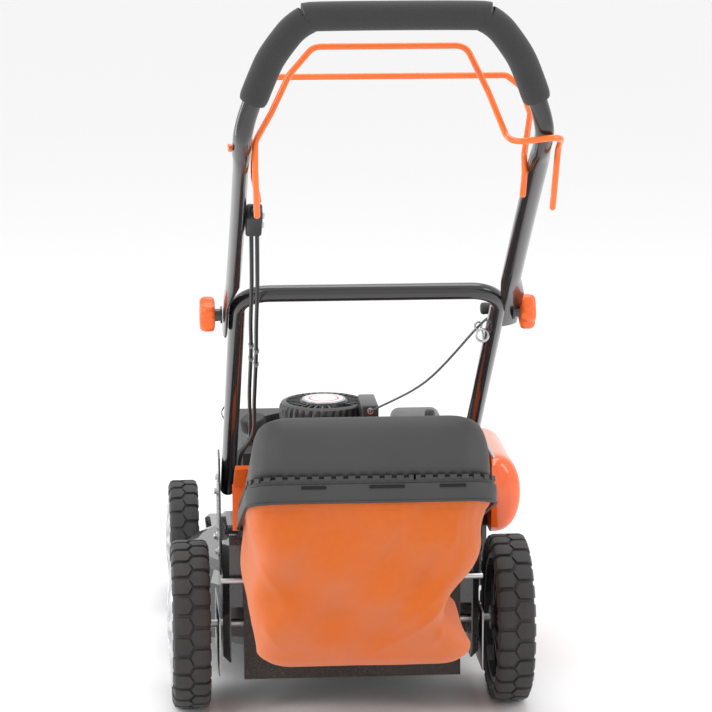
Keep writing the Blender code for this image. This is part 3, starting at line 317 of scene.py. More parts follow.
tube_look = moulded("black_enamel", (0.016, 0.016, 0.017), (0.009, 0.009, 0.010), 0.20, 350.0, 0.04, coat=0.6,
    rough_swing=0.08)
leg_foot = (0.100, 0.312)
leg_run = Vector((KNUCKLE_Y - leg_foot[0], KNUCKLE_Z - leg_foot[1])).normalized()
cross = (KNUCKLE_Y + leg_run.x * 0.053, KNUCKLE_Z + leg_run.y * 0.053 + 0.003)
lower_path = rounded_path([at(-LOWER_LEG_X, *leg_foot), at(-LOWER_LEG_X, *cross), at(LOWER_LEG_X, *cross),
    at(LOWER_LEG_X, *leg_foot)], 0.042, 12)
shape("lower_tube", *skinned(tube_rings(lower_path, TUBE_R, 28)), tube_look, "chassis", ["lower_handle"])

HALF_W = 0.187
FLAT_X = LOWER_LEG_X + TUBE_R + 0.0004 + 0.004
LEG_REACH = 0.405
LEG_RISE = 0.298
leg_length = sqrt(LEG_REACH ** 2 + LEG_RISE ** 2)
up_run = Vector((-LEG_REACH, LEG_RISE)).normalized()
bend_y = KNUCKLE_Y - LEG_REACH
bend_z = KNUCKLE_Z + LEG_RISE


def on_leg(x, distance):
    """A point on the straight upper leg, measured from the knuckle."""
    return at(x, KNUCKLE_Y + up_run.x * distance, KNUCKLE_Z + up_run.y * distance)


def over_bend(x, back, rise):
    """A point of the grip end, measured from the bend."""
    return at(x, bend_y - back, bend_z + rise)


FLAT = (0.0040, 0.0165)
OVAL = (0.0100, 0.0140)
ROUND = (0.0120, 0.0120)
half = [(on_leg(FLAT_X, -0.040), FLAT), (on_leg(FLAT_X, 0.0), FLAT), (on_leg(FLAT_X, 0.048), FLAT),
    (on_leg(FLAT_X - 0.004, 0.072), (0.0065, 0.0155)), (on_leg(HALF_W + 0.001, 0.100), OVAL),
    (on_leg(HALF_W, leg_length * 0.55), OVAL), (on_leg(HALF_W, leg_length - 0.075), OVAL),
    (on_leg(HALF_W, leg_length - 0.040), ROUND), (over_bend(HALF_W, -0.012, -0.007), ROUND),
    (over_bend(HALF_W - 0.001, 0.001, 0.006), ROUND), (over_bend(HALF_W - 0.005, 0.006, 0.024), ROUND),
    (over_bend(HALF_W - 0.012, 0.011, 0.045), ROUND), (over_bend(HALF_W - 0.022, 0.017, 0.071), ROUND),
    (over_bend(HALF_W - 0.034, 0.021, 0.098), ROUND), (over_bend(HALF_W - 0.052, 0.026, 0.124), ROUND),
    (over_bend(HALF_W - 0.064, 0.028, 0.137), ROUND), (over_bend(HALF_W - 0.078, 0.030, 0.146), ROUND),
    (over_bend(HALF_W - 0.095, 0.030, 0.150), ROUND)]
whole = [(Vector((-p.x, p.y, p.z)), s) for p, s in half] + half[::-1]


def eased(points, parts=4):
    """A denser row of (point, sizes) read from a smooth curve through the given ones."""
    fine = []
    row = [points[0]] + points + [points[-1]]
    for (p0, _), (p1, s1), (p2, s2), (p3, _) in zip(row, row[1:], row[2:], row[3:]):
        for i in range(parts):
            t = i / parts
            spot = 0.5 * (2 * p1 + (p2 - p0) * t + (2 * p0 - 5 * p1 + 4 * p2 - p3)
                * t * t + (3 * p1 - p0 - 3 * p2 + p3) * t * t * t)
            fine.append((spot, (s1[0] + (s2[0] - s1[0]) * t, s1[1] + (s2[1] - s1[1]) * t)))
    fine.append(points[-1])
    return fine


upper_row = eased(whole[4:-4], 4)
upper_row = whole[:4] + upper_row + whole[-4:]
upper_path = [p for p, s in upper_row]
shape("upper_tube", *skinned(tube_rings(upper_path, [s for p, s in upper_row], 28)), tube_look, "upper",
    ["upper_handle"])

# ---- Foam grip
# One sleeve of closed-cell foam rubber, slid round the whole upper bend of the handle.
# Its ends are cut square and its skin has fine pores.
GRIP_R = 0.018
look, shader, start, place = open_look("grip_foam", sheen=0.15)
pores = start.node("ShaderNodeTexVoronoi", None, {"Vector": place, "Scale": 620.0}, "Distance")
broad = mottle(start, place, 35.0, 4.0)
close_look(look, shader, tint(start, broad * 0.6 + pores * 0.5, (0.016, 0.016, 0.017), (0.036, 0.036, 0.037)),
    broad * 0.1 + 0.80, pores * 0.7 + mottle(start, place, 240.0) * 0.3, 0.55, 0.0006)
foam_look = look
grip_row = eased(whole[11:-11], 5)
grip_path = [p for p, s in grip_row]
ends = [0.0165, 0.0176] + [GRIP_R] * (len(grip_path) - 4) + [0.0176, 0.0165]
outer = tube_rings(grip_path, [(r, r) for r in ends], 36)
inner = tube_rings(grip_path, 0.0123, 36)
grip = shape("grip_sleeve", *skinned(outer + inner[::-1], hollow=True), foam_look, "upper", ["foam_grip"],
    smooth=55.0)

# ---- Bails
# Two loops of 8 mm steel wire in orange enamel, pivoting through the upper legs.
# The near one drives the wheels and the far one stops the engine; their low ends pull the cables.
ROD_R = 0.004
bail_look = moulded("orange_enamel", (0.93, 0.165, 0.006), (0.82, 0.125, 0.004), 0.30, 500.0, 0.05, coat=0.5)
BAIL_A = on_leg(0.0, leg_length - 0.0275)
BAIL_B = on_leg(0.0, leg_length - 0.0815)
CLEAR = HALF_W - OVAL[0] - 0.0025 - ROD_R
OUTSIDE = HALF_W + ROUND[0] + 0.0045 + ROD_R


def near(pivot, x, dy, dz):
    return Vector((x, pivot.y + dy, pivot.z + dz))


def domed(path, radius, count=16):
    """Rings of a round bar with softly rounded ends."""
    ways = frames(path)
    rings = []
    caps = [(radius * 0.75, 0.45), (radius * 0.35, 0.85)]
    stations = [(path[0], ways[0], push, share) for push, share in caps]
    stations += [(p, w, 0.0, 1.0) for p, w in zip(path, ways)]
    stations += [(path[-1], ways[-1], -push, share) for push, share in caps[::-1]]
    for spot, (side, normal), push, share in stations:
        along = side.cross(normal)
        middle = spot - along * push
        rings.append([middle + side * (radius * share * cos(2 * pi * j / count))
            + normal * (radius * share * sin(2 * pi * j / count)) for j in range(count)])
    return rings


a_points = [near(BAIL_A, *spot) for spot in ((-CLEAR + 0.002, 0.004, -0.086), (-CLEAR, 0.003, -0.030),
    (-CLEAR, 0.000, 0.008), (-0.150, 0.010, 0.042), (-0.127, 0.025, 0.087), (-0.096, 0.035, 0.121),
    (0.094, 0.035, 0.121), (0.121, 0.022, 0.065), (0.139, -0.022, 0.014), (0.148, -0.040, 0.009),
    (OUTSIDE - 0.006, -0.040, 0.015), (OUTSIDE, -0.020, 0.009), (OUTSIDE, 0.005, -0.004),
    (OUTSIDE - 0.006, 0.006, -0.080))]
shape("drive_bail_wire", *skinned(domed(rounded_path(a_points, 0.020, 8), ROD_R)), bail_look, "drive_bail",
    ["drive_bail"])
for tag, x0, x1 in (("left", -0.2000, -CLEAR), ("right", HALF_W + 0.004, OUTSIDE)):
    pin = domed([near(BAIL_A, x0, 0, 0), near(BAIL_A, x1, 0, 0)], ROD_R * 0.98)
    shape("drive_bail_pin_" + tag, *skinned(pin), bail_look, "drive_bail")
tab = [[near(BAIL_A, x, w * 0.0090 * cos(2 * pi * j / 20), w * 0.0052 * sin(2 * pi * j / 20) + rise)
    for j in range(20)] for x, w, rise in ((-0.1994, 0.75, 0), (-0.2000, 0.9, 0), (-0.2034, 1.0, 0.0005),
    (-0.2046, 0.8, 0.0008))]
shape("drive_bail_tab", *skinned(tab), bail_look, "drive_bail", smooth=60.0)
b_points = [near(BAIL_B, *spot) for spot in ((-CLEAR + 0.005, -0.010, -0.040), (-CLEAR, -0.002, -0.010),
    (-CLEAR, 0.004, 0.014), (-HALF_W + 0.006, 0.030, 0.062), (-0.172, 0.055, 0.094), (-0.154, 0.060, 0.108),
    (0.154, 0.060, 0.108), (0.172, 0.055, 0.094), (HALF_W - 0.006, 0.030, 0.062), (CLEAR, 0.004, 0.014),
    (CLEAR, -0.002, -0.010), (CLEAR - 0.003, -0.008, -0.036))]
shape("stop_bail_wire", *skinned(domed(rounded_path(b_points, 0.010, 6), ROD_R)), bail_look, "stop_bail",
    ["stop_bail"])
for tag, x0, x1 in (("left", -HALF_W + 0.003, -CLEAR), ("right", CLEAR, HALF_W - 0.003)):
    shape("stop_bail_pin_" + tag, *skinned(domed([near(BAIL_B, x0, 0, 0), near(BAIL_B, x1, 0, 0)],
        ROD_R * 0.98)), bail_look, "stop_bail")

# ---- Star knobs
# Two moulded orange knobs on the clamp bolts, five soft lobes each, with a black stem washer.
# A bright bolt end shows through the middle of each head.
knob_look = moulded("orange_plastic", (0.90, 0.140, 0.008), (0.80, 0.105, 0.005), 0.34, 420.0, 0.12, coat=0.25)
steel_look, shader, start, place = open_look("bright_steel", metal=1.0)
brushed = mottle(start, place, 160.0, 5.0, 0.7)
close_look(steel_look, shader, tint(start, brushed, (0.42, 0.42, 0.43), (0.66, 0.66, 0.67)),
    brushed * 0.22 + 0.22, brushed, 0.08, 0.0004)
KNOB_FROM = FLAT_X + 0.004 + 0.0004


def spun(profile, centre, axis, count, change=None):
    """Points and faces of a turned profile; change may alter (radius, height) by angle."""
    axis = Vector(axis).normalized()
    side = axis.orthogonal().normalized()
    up = axis.cross(side)
    verts = []
    rows = []
    for step, (radius, height) in enumerate(profile):
        if radius <= 0:
            rows.append([len(verts)])
            verts.append(Vector(centre) + axis * height)
            continue
        rows.append(list(range(len(verts), len(verts) + count)))
        for j in range(count):
            turn = 2 * pi * j / count
            r, h = change(step, radius, height, turn) if change else (radius, height)
            verts.append(Vector(centre) + axis * h + (side * cos(turn) + up * sin(turn)) * r)
    faces = []
    pairs = list(zip(rows, rows[1:]))
    if profile[0][0] > 0:
        pairs.append((rows[-1], rows[0]))
    for one, two in pairs:
        for j in range(count):
            k = (j + 1) % count
            corners = [one[j % len(one)], one[k % len(one)], two[k % len(two)], two[j % len(two)]]
            unique = list(dict.fromkeys(corners))
            if len(unique) > 2:
                faces.append(tuple(unique))
    return verts, faces


def lobed(step, radius, height, turn):
    share = min(1.0, max(0.0, (radius - 0.010) / 0.014))
    return radius * (1 - share * 0.20 * (0.5 - 0.5 * cos(5 * turn)) ** 1.4), height


for tag, side in (("left", -1), ("right", 1)):
    pivot = at(side * KNOB_FROM, KNUCKLE_Y, KNUCKLE_Z)
    shape("knob_head_" + tag, *spun([(0, 0.010), (0.018, 0.0105), (0.0235, 0.012), (0.0253, 0.0155),
        (0.0255, 0.024), (0.0240, 0.0288), (0.0205, 0.0312), (0.0125, 0.0315), (0.0090, 0.0298),
        (0.0, 0.0296)], pivot, (side, 0, 0), 80, lobed), knob_look, "knob_" + tag, ["knob_" + tag], smooth=50.0)
    shape("knob_stem_" + tag, *spun([(0, 0.0004), (0.0118, 0.0004), (0.0120, 0.0030), (0.0085, 0.0036),
        (0.0088, 0.0112), (0, 0.0112)], pivot, (side, 0, 0), 28), tube_look, "knob_" + tag)
    shape("knob_bolt_" + tag, *spun([(0, 0.0297), (0.0042, 0.0297), (0.0042, 0.0308), (0.0032, 0.0314),
        (0, 0.0314)], pivot, (side, 0, 0), 24), steel_look, "knob_" + tag)

# ---- Cable clamp, bail wires and adjusters
# A black moulded block bolted inside the left upper leg holds the ends of both cable sheaths.
# Bare wires run from it to the bails, and a small bright adjuster sits on each cable.
plastic_look = moulded("black_plastic", (0.032, 0.032, 0.033), (0.018, 0.018, 0.019), 0.50, 1100.0, 0.35,
    patch=22.0)


def rounded_box(low, high, bevel, look, name, body, stands_for=(), segments=3, tilt=None):
    """A moulded block with soft edges, turned about its own centre by tilt when given."""
    middle = (Vector(low) + Vector(high)) / 2
    reach = (Vector(high) - Vector(low)) / 2
    verts = [Vector((sx * reach.x, sy * reach.y, sz * reach.z)) for sz in (-1, 1) for sx,
        sy in ((-1, -1), (1, -1), (1, 1), (-1, 1))]
    faces = [(3, 2, 1, 0), (4, 5, 6, 7), (0, 1, 5, 4), (1, 2, 6, 5), (2, 3, 7, 6), (3, 0, 4, 7)]
    mesh = bpy.data.meshes.new(name)
    mesh.from_pydata([tuple(v) for v in verts], [], faces)
    skin = bmesh.new()
    skin.from_mesh(mesh)
    bmesh.ops.bevel(skin, geom=skin.edges[:], offset=bevel, segments=segments, profile=0.5, affect="EDGES",
        clamp_overlap=True)
    skin.verts.ensure_lookup_table()
    verts = [v.co.copy() for v in skin.verts]
    faces = [tuple(v.index for v in f.verts) for f in skin.faces]
    skin.free()
    bpy.data.meshes.remove(mesh)
    if tilt:
        for v in verts:
            v.rotate(tilt)
    return shape(name, [v + middle for v in verts], faces, look, body, stands_for, smooth=30.0)


LEG_TILT = Euler((-0.6345, 0, 0))
clamp_middle = on_leg(0.0, leg_length * 0.56)
rounded_box((-0.1766, clamp_middle.y - 0.025, clamp_middle.z - 0.012),
    (-0.1555, clamp_middle.y + 0.025, clamp_middle.z + 0.012), 0.0035, plastic_look, "cable_clamp_block",
    "upper", ["cable_clamp"], tilt=LEG_TILT)
for i, off in enumerate((-0.014, 0.012)):
    spot = on_leg(-0.1600, leg_length * 0.56 + off)
    shape("clamp_bolt_%d" % i, *spun([(0, 0), (0.0042, 0), (0.0042, 0.0022), (0.0034, 0.0030), (0, 0.0030)],
        Vector((-0.1556, spot.y, spot.z)), (1, 0, 0), 6), steel_look, "upper", smooth=20.0)
for tag, low, high in (("drive", on_leg(-0.1610, leg_length * 0.56 + 0.027),
        near(BAIL_A, -CLEAR + 0.002, 0.004, -0.080)), ("stop", on_leg(-0.1685, leg_length * 0.56 + 0.027),
        near(BAIL_B, -CLEAR + 0.005, -0.010, -0.036))):
    shape(tag + "_bail_wire_lead", *skinned(tube_rings([Vector(low),
        (Vector(low) + Vector(high)) / 2 + Vector((0, 0, -0.001)), Vector(high)], 0.0008, 8)), steel_look,
        "upper")
    way = on_leg(0, 1) - on_leg(0, 0)
    shape(tag + "_cable_cap", *spun([(0, -0.004), (0.0042, -0.004), (0.0040, 0.002), (0.0022, 0.012),
        (0, 0.013)], Vector(low), way, 18), cable_look, "upper", smooth=60.0)


CABLE_R = 0.00275
runs = {"stop": [on_leg(-0.1685, leg_length * 0.56 - 0.026), at(-0.1665, -0.500, 0.742),
    at(-0.1650, -0.440, 0.697), at(-0.1640, -0.3993, 0.6655), at(-0.1610, -0.330, 0.612),
    at(-0.1590, -0.220, 0.530), at(-0.1540, -0.120, 0.462), at(-0.1500, -0.010, 0.420),
    at(-0.1460, 0.080, 0.395), at(-0.1200, 0.110, 0.350), at(-0.1150, 0.135, 0.312),
    at(-0.1150, 0.1590, 0.305)], "drive": [on_leg(-0.1610, leg_length * 0.56 - 0.026),
    at(-0.1590, -0.500, 0.736), at(-0.1575, -0.440, 0.690), at(-0.1565, -0.4013, 0.6595),
    at(-0.1540, -0.330, 0.604), at(-0.1520, -0.220, 0.522), at(-0.1500, -0.120, 0.450),
    at(-0.1640, 0.000, 0.385), at(-0.1640, 0.055, 0.330), at(-0.1640, 0.085, 0.295), at(-0.1640, 0.095, 0.262)]}
for tag, run in runs.items():
    row = eased([(Vector(p), (CABLE_R, CABLE_R)) for p in run], 8)
    sheath = shape(tag + "_cable", *skinned(tube_rings([p for p, s in row], CABLE_R, 12)), cable_look, None,
        [tag + "_cable_upper", tag + "_cable_lower"])
    at(-0.162, -0.350, 0.628)
    at(-0.162, -0.450, 0.700)
    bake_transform(sheath)
    for i in (30, 33):
        spot = row[i][0]
        way = row[i + 1][0] - spot
        shape("%s_adjuster_%d" % (tag, i), *spun([(0, 0), (0.0040, 0), (0.0040, 0.009), (0.0030, 0.011),
            (0, 0.011)], spot, way, 6), steel_look, "chassis", smooth=20.0)
shape("cable_tie", *spun([(0.0125, -0.002), (0.0136, -0.002), (0.0136, 0.002), (0.0125, 0.002)],
    at(-LOWER_LEG_X, -0.0450, 0.4632), (0, leg_run.x, leg_run.y), 32), plastic_look, "chassis", smooth=30.0)

# ---- Starter handle and rope hook
# A black moulded T bar with a waisted grip; the rope comes out of its middle.
# A bent wire hook on the right leg holds it where the operator can reach it.
T_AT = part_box("starter_handle")
t_mid = (Vector(T_AT[0]) + Vector(T_AT[1])) / 2
t_half = [(0, -0.0270), (0.0055, -0.0270), (0.0078, -0.0255), (0.0085, -0.0225), (0.0080, -0.016),
    (0.0070, -0.006)]
t_profile = t_half + [(0.0068, 0.0)] + [(r, -h) for r, h in t_half[::-1]]
shape("starter_t_bar", *spun(t_profile, t_mid, (1, 0, 0), 32), plastic_look, "starter_handle",
    ["starter_handle"], smooth=60.0)
wear(steel_look, "rope_hook")
guide = []
for k in range(2 * 20 + 1):
    turn = 2 * pi * k / 20
    guide.append(at(LOWER_LEG_X - 0.0165 + 0.0085 * cos(turn), -0.300 - 0.004 * k / 20,
        0.626 + 0.0085 * sin(turn)))
shape("rope_spiral", *skinned(tube_rings(guide, 0.0014, 10, (0, 1, 0))), steel_look, "chassis")

# ---- Wheels
# Black rubber tyres with two staggered rows of lugs and a zigzag groove between them.
# They sit on black moulded rims; a silver spoked cap covers the outer face of each wheel.
look, shader, start, place = open_look("tyre_rubber", sheen=0.08)
dust = mottle(start, place, 26.0, 5.0, 0.7)
skin_fine = mottle(start, place, 700.0, 2.0)
close_look(look, shader, tint(start, dust ** 2.2, (0.017, 0.017, 0.018), (0.060, 0.058, 0.055)),
    dust * 0.18 + 0.60, skin_fine, 0.35, 0.0005)
tyre_look = look
rim_look = moulded("rim_plastic", (0.030, 0.030, 0.031), (0.016, 0.016, 0.017), 0.38, 800.0, 0.15)
hub_look = moulded("hub_silver", (0.56, 0.56, 0.58), (0.42, 0.42, 0.44), 0.30, 600.0, 0.06, metal=0.75,
    coat=0.3)


def lug(radius, half, hand, turn, pitch):
    """One tread block: a grid over the tread and shoulder, closed underneath."""
    wide = pitch * 0.395
    stations = [(None, 0.0), (0.010, 0.0), (half * 0.70, 0.0), (half * 0.90, 0.0022), (half + 0.0008, 0.0100),
        (half + 0.0006, 0.0165)]
    spans = [1.0, 1.0, 1.0, 0.92, 0.80, 0.62]
    top = []
    low = []
    for (x, drop), span in zip(stations, spans):
        for s in (-1.0, -0.5, 0.0, 0.5, 1.0):
            across = (0.0045 - 0.0060 * (1 - abs(s))) if x is None else x
            lean = 0.0012 * hand
            arc = s * wide * span + lean
            for rows, sink, tuck in ((top, 0.0, 0.0), (low, 0.0040, 0.0035)):
                r = radius - drop - (sink if drop < 0.009 else sink * 0.3)
                x_now = (across - (tuck if drop >= 0.009 else 0.0)) * hand
                angle = turn + arc * (0.97 if rows is top else 1.05) / radius
                rows.append(Vector((x_now, r * cos(angle), r * sin(angle))))
    n = 5
    rows = len(stations)
    verts = top + low
    base = len(top)
    faces = []
    for i in range(rows - 1):
        for j in range(n - 1):
            a = i * n + j
            faces.append((a, a + 1, a + n + 1, a + n))
            faces.append((base + a, base + a + n, base + a + n + 1, base + a + 1))
    edge = ([j for j in range(n)] + [i * n + n - 1 for i in range(1, rows)]
        + [(rows - 1) * n + j for j in range(n - 2, -1, -1)] + [i * n for i in range(rows - 2, 0, -1)])
    for a, b in zip(edge, edge[1:] + edge[:1]):
        faces.append((a, base + a, base + b, b))
    return verts, faces


def wheel(tag, side, track, y, diameter, width, lugs):
    """Tyre, lugs, rim ribs and cap of one wheel, on its own axle line."""
    centre = at(side * track / 2, y, diameter / 2)
    body = "wheel_" + tag
    radius = diameter / 2
    half = width / 2
    seat = radius * 0.79
    groove = radius - 0.0038
    near_side = [(seat, -half * 0.84), (seat + 0.003, -half * 0.94), (seat + 0.010, -half * 0.99),
        (groove - 0.014, -half * 0.985), (groove - 0.006, -half * 0.93), (groove - 0.0015, -half * 0.80),
        (groove, -half * 0.62)]
    carcass = near_side + [(groove, 0)] + [(r, -x) for r, x in near_side[::-1]]
    shape("tyre_carcass_" + tag, *spun(carcass, centre, (1, 0, 0), 96), tyre_look, body, ["tyre_" + tag],
        smooth=50.0)
    pitch = 2 * pi * radius / lugs
    verts = []
    faces = []
    for i in range(lugs):
        for hand in (-1, 1):
            turn = 2 * pi * (i + (0.5 if hand > 0 else 0.0)) / lugs
            v, f = lug(radius, half, hand, turn, pitch)
            shift = len(verts)
            verts += [p + centre for p in v]
            faces += [tuple(k + shift for k in face) for face in f]
    shape("tyre_lugs_" + tag, verts, faces, tyre_look, body, smooth=32.0)
    ribs = []
    rib_faces = []
    for i in range(10):
        turn = 2 * pi * i / 10
        out = Vector((0, cos(turn), sin(turn)))
        across = Vector((0, -sin(turn), cos(turn)))
        for k, (r, wide) in enumerate(((0.016, 0.0045), (seat - 0.012, 0.0030))):
            for x in (-half * 0.28, -half * 0.80 if k == 0 else -half * 0.55):
                for s in (-1, 1):
                    ribs.append(centre + Vector((side * x, 0, 0)) + out * r + across * wide * s)
        o = len(ribs) - 8
        rib_faces += [(o, o + 1, o + 3, o + 2), (o + 4, o + 6, o + 7, o + 5), (o, o + 4, o + 5, o + 1),
            (o + 2, o + 3, o + 7, o + 6), (o, o + 2, o + 6, o + 4), (o + 1, o + 5, o + 7, o + 3)]
    shape("rim_ribs_" + tag, ribs, rib_faces, rim_look, body, smooth=30.0)
    inside = half * 0.84 + 0.0006

    def spoked(step, r, h, turn):
        share = min(1.0, max(0.0, (r - seat * 0.26) / (seat * 0.10))) * min(1.0,
            max(0.0, (seat * 0.93 - r) / (seat * 0.08)))
        wave = 0.5 - 0.5 * cos(12 * turn)
        return r, h - (0.0042 * share * min(1.0, max(0.0, (wave - 0.35) * 3.0)) if 1 < step < 12 else 0.0)

    lip = seat - 0.0004
    cap = [(0, inside), (lip - 0.004, inside), (lip - 0.002, inside + 0.001), (lip - 0.003, half * 0.92),
        (lip * 0.94, half + 0.0012), (lip * 0.90, half + 0.0014), (lip * 0.82, half + 0.0022),
        (lip * 0.66, half + 0.0040), (lip * 0.50, half + 0.0052), (lip * 0.36, half + 0.0060),
        (lip * 0.28, half + 0.0066), (lip * 0.24, half + 0.0069), (lip * 0.12, half + 0.0070),
        (0, half + 0.0070)]
    shape("hub_face_" + tag, *spun(cap, centre, (side, 0, 0), 144, spoked), hub_look, body, ["hub_cap_" + tag],
        smooth=28.0)
    wear(rim_look, "rim_" + tag)


WHEELBASE = 0.593
for end, *sizes in (("rear", 0.484, 0.0, 0.254, 0.056, 26), ("front", 0.478, WHEELBASE, 0.203, 0.048, 22)):
    for side, hand in ((-1, "left"), (1, "right")):
        wheel(end + "_" + hand, side, *sizes)
wear(steel_look, "front_axle", "rear_axle")

# ---- Grass bag lid and rim
# A grey moulded lid, sloping down to the machine, over a rim band with a notched upper edge.
# Three slots stand in the rim's rear face, and small teeth run along its upper edge.
BAG_HALF_W = 0.175
BAG_REAR = -0.450
BAG_FRONT = -0.078
look, shader, start, place = open_look("lid_plastic")
grain = mottle(start, place, 1300.0, 2.0)
cloudy = mottle(start, place, 9.0, 3.0)
close_look(look, shader, tint(start, cloudy * 0.7 + grain * 0.3, (0.028, 0.028, 0.029), (0.050, 0.049, 0.051)),
    cloudy * 0.08 + 0.53, grain, 0.5, 0.0005)
lid_look = look


def rim_line(y):
    return 0.455 + (0.320 - 0.455) * (y - BAG_REAR) / (BAG_FRONT - BAG_REAR)


def round_plan(half_w, rear, front, corner, front_corner=0.030, steps=8):
    """A closed plan outline with rounded corners, from the rear middle round by the right."""
    points = [(half_w * 0.35, rear), (half_w * 0.70, rear)]
    for cx, cy, r, start_turn in ((half_w - corner, rear + corner, corner, -pi / 2),
            (half_w - front_corner, front - front_corner, front_corner, 0.0)):
        points += [(cx + r * cos(start_turn + pi / 2 * i / steps),
            cy + r * sin(start_turn + pi / 2 * i / steps)) for i in range(steps + 1)]
        if start_turn < 0:
            ahead = front - front_corner
            points += [(half_w, rear + corner + (ahead - rear - corner) * k / 6) for k in range(1, 6)]
    points += [(half_w * 0.60, front), (half_w * 0.25, front)]
    return points + [(-x, y) for x, y in reversed(points)]


def plan_ring(half_w, rear, front, corner, height, front_corner=0.030):
    return [at(x, y, height(y)) for x, y in round_plan(half_w, rear, front, corner, front_corner)]


def crest(y):
    return 0.523 + (0.366 - 0.523) * (y + 0.362) / 0.290


def lid_level(share):
    """The lid's outline between the rim shelf and the flat crest, share 0 to 1."""
    curve = share ** 0.85
    rear = BAG_REAR + 0.008 + (0.088 - 0.008) * share ** 1.25
    lift = sin(share * pi / 2) ** 0.9
    return plan_ring(BAG_HALF_W - 0.010 - 0.032 * share ** 2.2, rear, BAG_FRONT + 0.001 + 0.005 * curve,
        0.046 - 0.012 * share, lambda y: (rim_line(y) + 0.005) * (1 - lift) + crest(y) * lift)


rings = [lid_level(i / 12) for i in range(13)]
rings.append(plan_ring(BAG_HALF_W - 0.050, BAG_REAR + 0.098, BAG_FRONT - 0.004, 0.032,
    lambda y: crest(y) + 0.0012))
rings.append(plan_ring(BAG_HALF_W - 0.080, BAG_REAR + 0.125, BAG_FRONT - 0.030, 0.030,
    lambda y: crest(y) + 0.0020))
verts, faces = skinned(rings)
lid = shape("bag_lid_shell", verts, faces[:-2] + [faces[-1]], lid_look, "grass_bag", ["bag_lid"], smooth=38.0)
skin = lid.modifiers.new("wall", "SOLIDIFY")
skin.thickness = 0.0022
skin.offset = -1.0
band = [(0.0000, -0.0300), (0.0012, -0.0296), (0.0016, -0.0280), (0.0000, -0.0262), (0.0000, -0.0060),
    (-0.0008, -0.0035), (-0.0035, -0.0020), (-0.0040, 0.0050), (-0.0110, 0.0060), (-0.0125, -0.0010),
    (-0.0050, -0.0060), (-0.0035, -0.0300)]
rings = [plan_ring(BAG_HALF_W - 0.0014 + out, BAG_REAR + 0.0014 - out, BAG_FRONT - 0.001 + out, 0.046,
    lambda y, up=up: rim_line(y) + up) for out, up in band]
shape("bag_rim_band", *skinned(rings, hollow=True), lid_look, "grass_bag", smooth=30.0)
shadow_look = moulded("dark_slot", (0.006, 0.006, 0.006), (0.004, 0.004, 0.004), 0.9, 400.0, 0.1)
for i, (x, wide) in enumerate(((-0.082, 0.034), (0.018, 0.048), (0.108, 0.036))):
    z = rim_line(BAG_REAR) - 0.008
    rounded_box(at(x - wide / 2, BAG_REAR - 0.0004, z - 0.0022),
        at(x + wide / 2, BAG_REAR + 0.0030, z + 0.0022), 0.0010, shadow_look, "rim_slot_%d" % i, "grass_bag",
        segments=2)
verts, faces = [], []
outline = round_plan(BAG_HALF_W - 0.0060, BAG_REAR + 0.0060, BAG_FRONT - 0.006, 0.044)
walk = [at(x, y, rim_line(y) + 0.0045) for x, y in outline]
walk.append(walk[0])
spots = []
carried = 0.0
for a, b in zip(walk, walk[1:]):
    gap = (b - a).length
    while carried < gap:
        spots.append((a.lerp(b, carried / gap), (b - a).normalized()))
        carried += 0.0165
    carried -= gap
for spot, along in spots:
    outward = along.cross(Vector((0, 0, 1))).normalized()
    o = len(verts)
    for dz in (-0.002, 0.0042):
        for s, t in ((-1, -1), (1, -1), (1, 1), (-1, 1)):
            verts.append(spot + along * s * 0.0048 + outward * t * 0.0022 + Vector((0, 0, dz)))
    faces += brick_faces(o)
shape("rim_teeth", verts, faces, lid_look, "grass_bag", smooth=30.0)

# ---- Grass bag cloth
# Orange woven mesh, sewn into a tub and hung inside the rim by a hem, open at the front.
# It carries broad diagonal folds, small gathers under the rim and a flared lower right corner.
look, shader, start, place = open_look("orange_mesh", sheen=0.25)
split = start.node("ShaderNodeSeparateXYZ", None, {0: place}, "X")
axis_y = Tap(split.tree, split.out.node.outputs["Y"])
axis_z = Tap(split.tree, split.out.node.outputs["Z"])
warp = (split + axis_y * 0.55).maths("SINE", (split + axis_y * 0.55) * 3900.0)
weft = (axis_z - axis_y * 0.45).maths("SINE", (axis_z - axis_y * 0.45) * 3900.0)
weave = warp * weft * 0.5 + 0.5
slub = mottle(start, place, 130.0, 3.0)
stain = mottle(start, place, 5.0, 2.0)
deep = tint(start, stain, (0.84, 0.170, 0.003), (0.92, 0.220, 0.004))
threads = tint(start, weave * 0.55 + slub * 0.25, (0.52, 0.078, 0.002), deep)
close_look(look, shader, threads, slub * 0.1 + 0.78, weave * 0.8 + slub * 0.4, 0.75, 0.0009)
cloth_look = look
CREASES = [(0.150, 0.52, -0.030, 0.97, 0.011, 0.0090), (0.150, 0.38, 0.010, 0.80, 0.014, 0.0060),
    (0.132, 0.70, 0.060, 0.97, 0.007, 0.0085), (-0.168, 0.30, -0.060, 0.86, 0.014, 0.0060),
    (-0.150, 0.64, -0.095, 1.00, 0.008, 0.0075), (0.060, 0.02, -0.030, 0.50, 0.012, 0.0035),
    (-0.080, 0.02, -0.125, 0.50, 0.010, 0.0030), (0.125, 0.02, 0.105, 0.50, 0.010, 0.0045)]
SAG = [(0.0, 0.0), (0.25, 0.014), (0.49, 0.036), (0.67, 0.051), (0.80, 0.032), (0.88, 0.016), (0.95, 0.016),
    (1.0, 0.010)]
LEVELS = [(0.000, 0.1695, 0.0070, 0.0065, 0.046), (0.060, 0.1690, 0.0085, 0.0065, 0.046),
    (0.250, 0.1680, 0.0180, 0.0060, 0.047), (0.550, 0.1660, 0.0500, 0.0080, 0.048),
    (0.800, 0.1635, 0.0850, 0.0120, 0.046), (0.930, 0.1590, 0.1080, 0.0180, 0.044),
    (0.985, 0.1480, 0.1260, 0.0300, 0.042), (1.000, 0.1250, 0.1420, 0.0450, 0.038)]


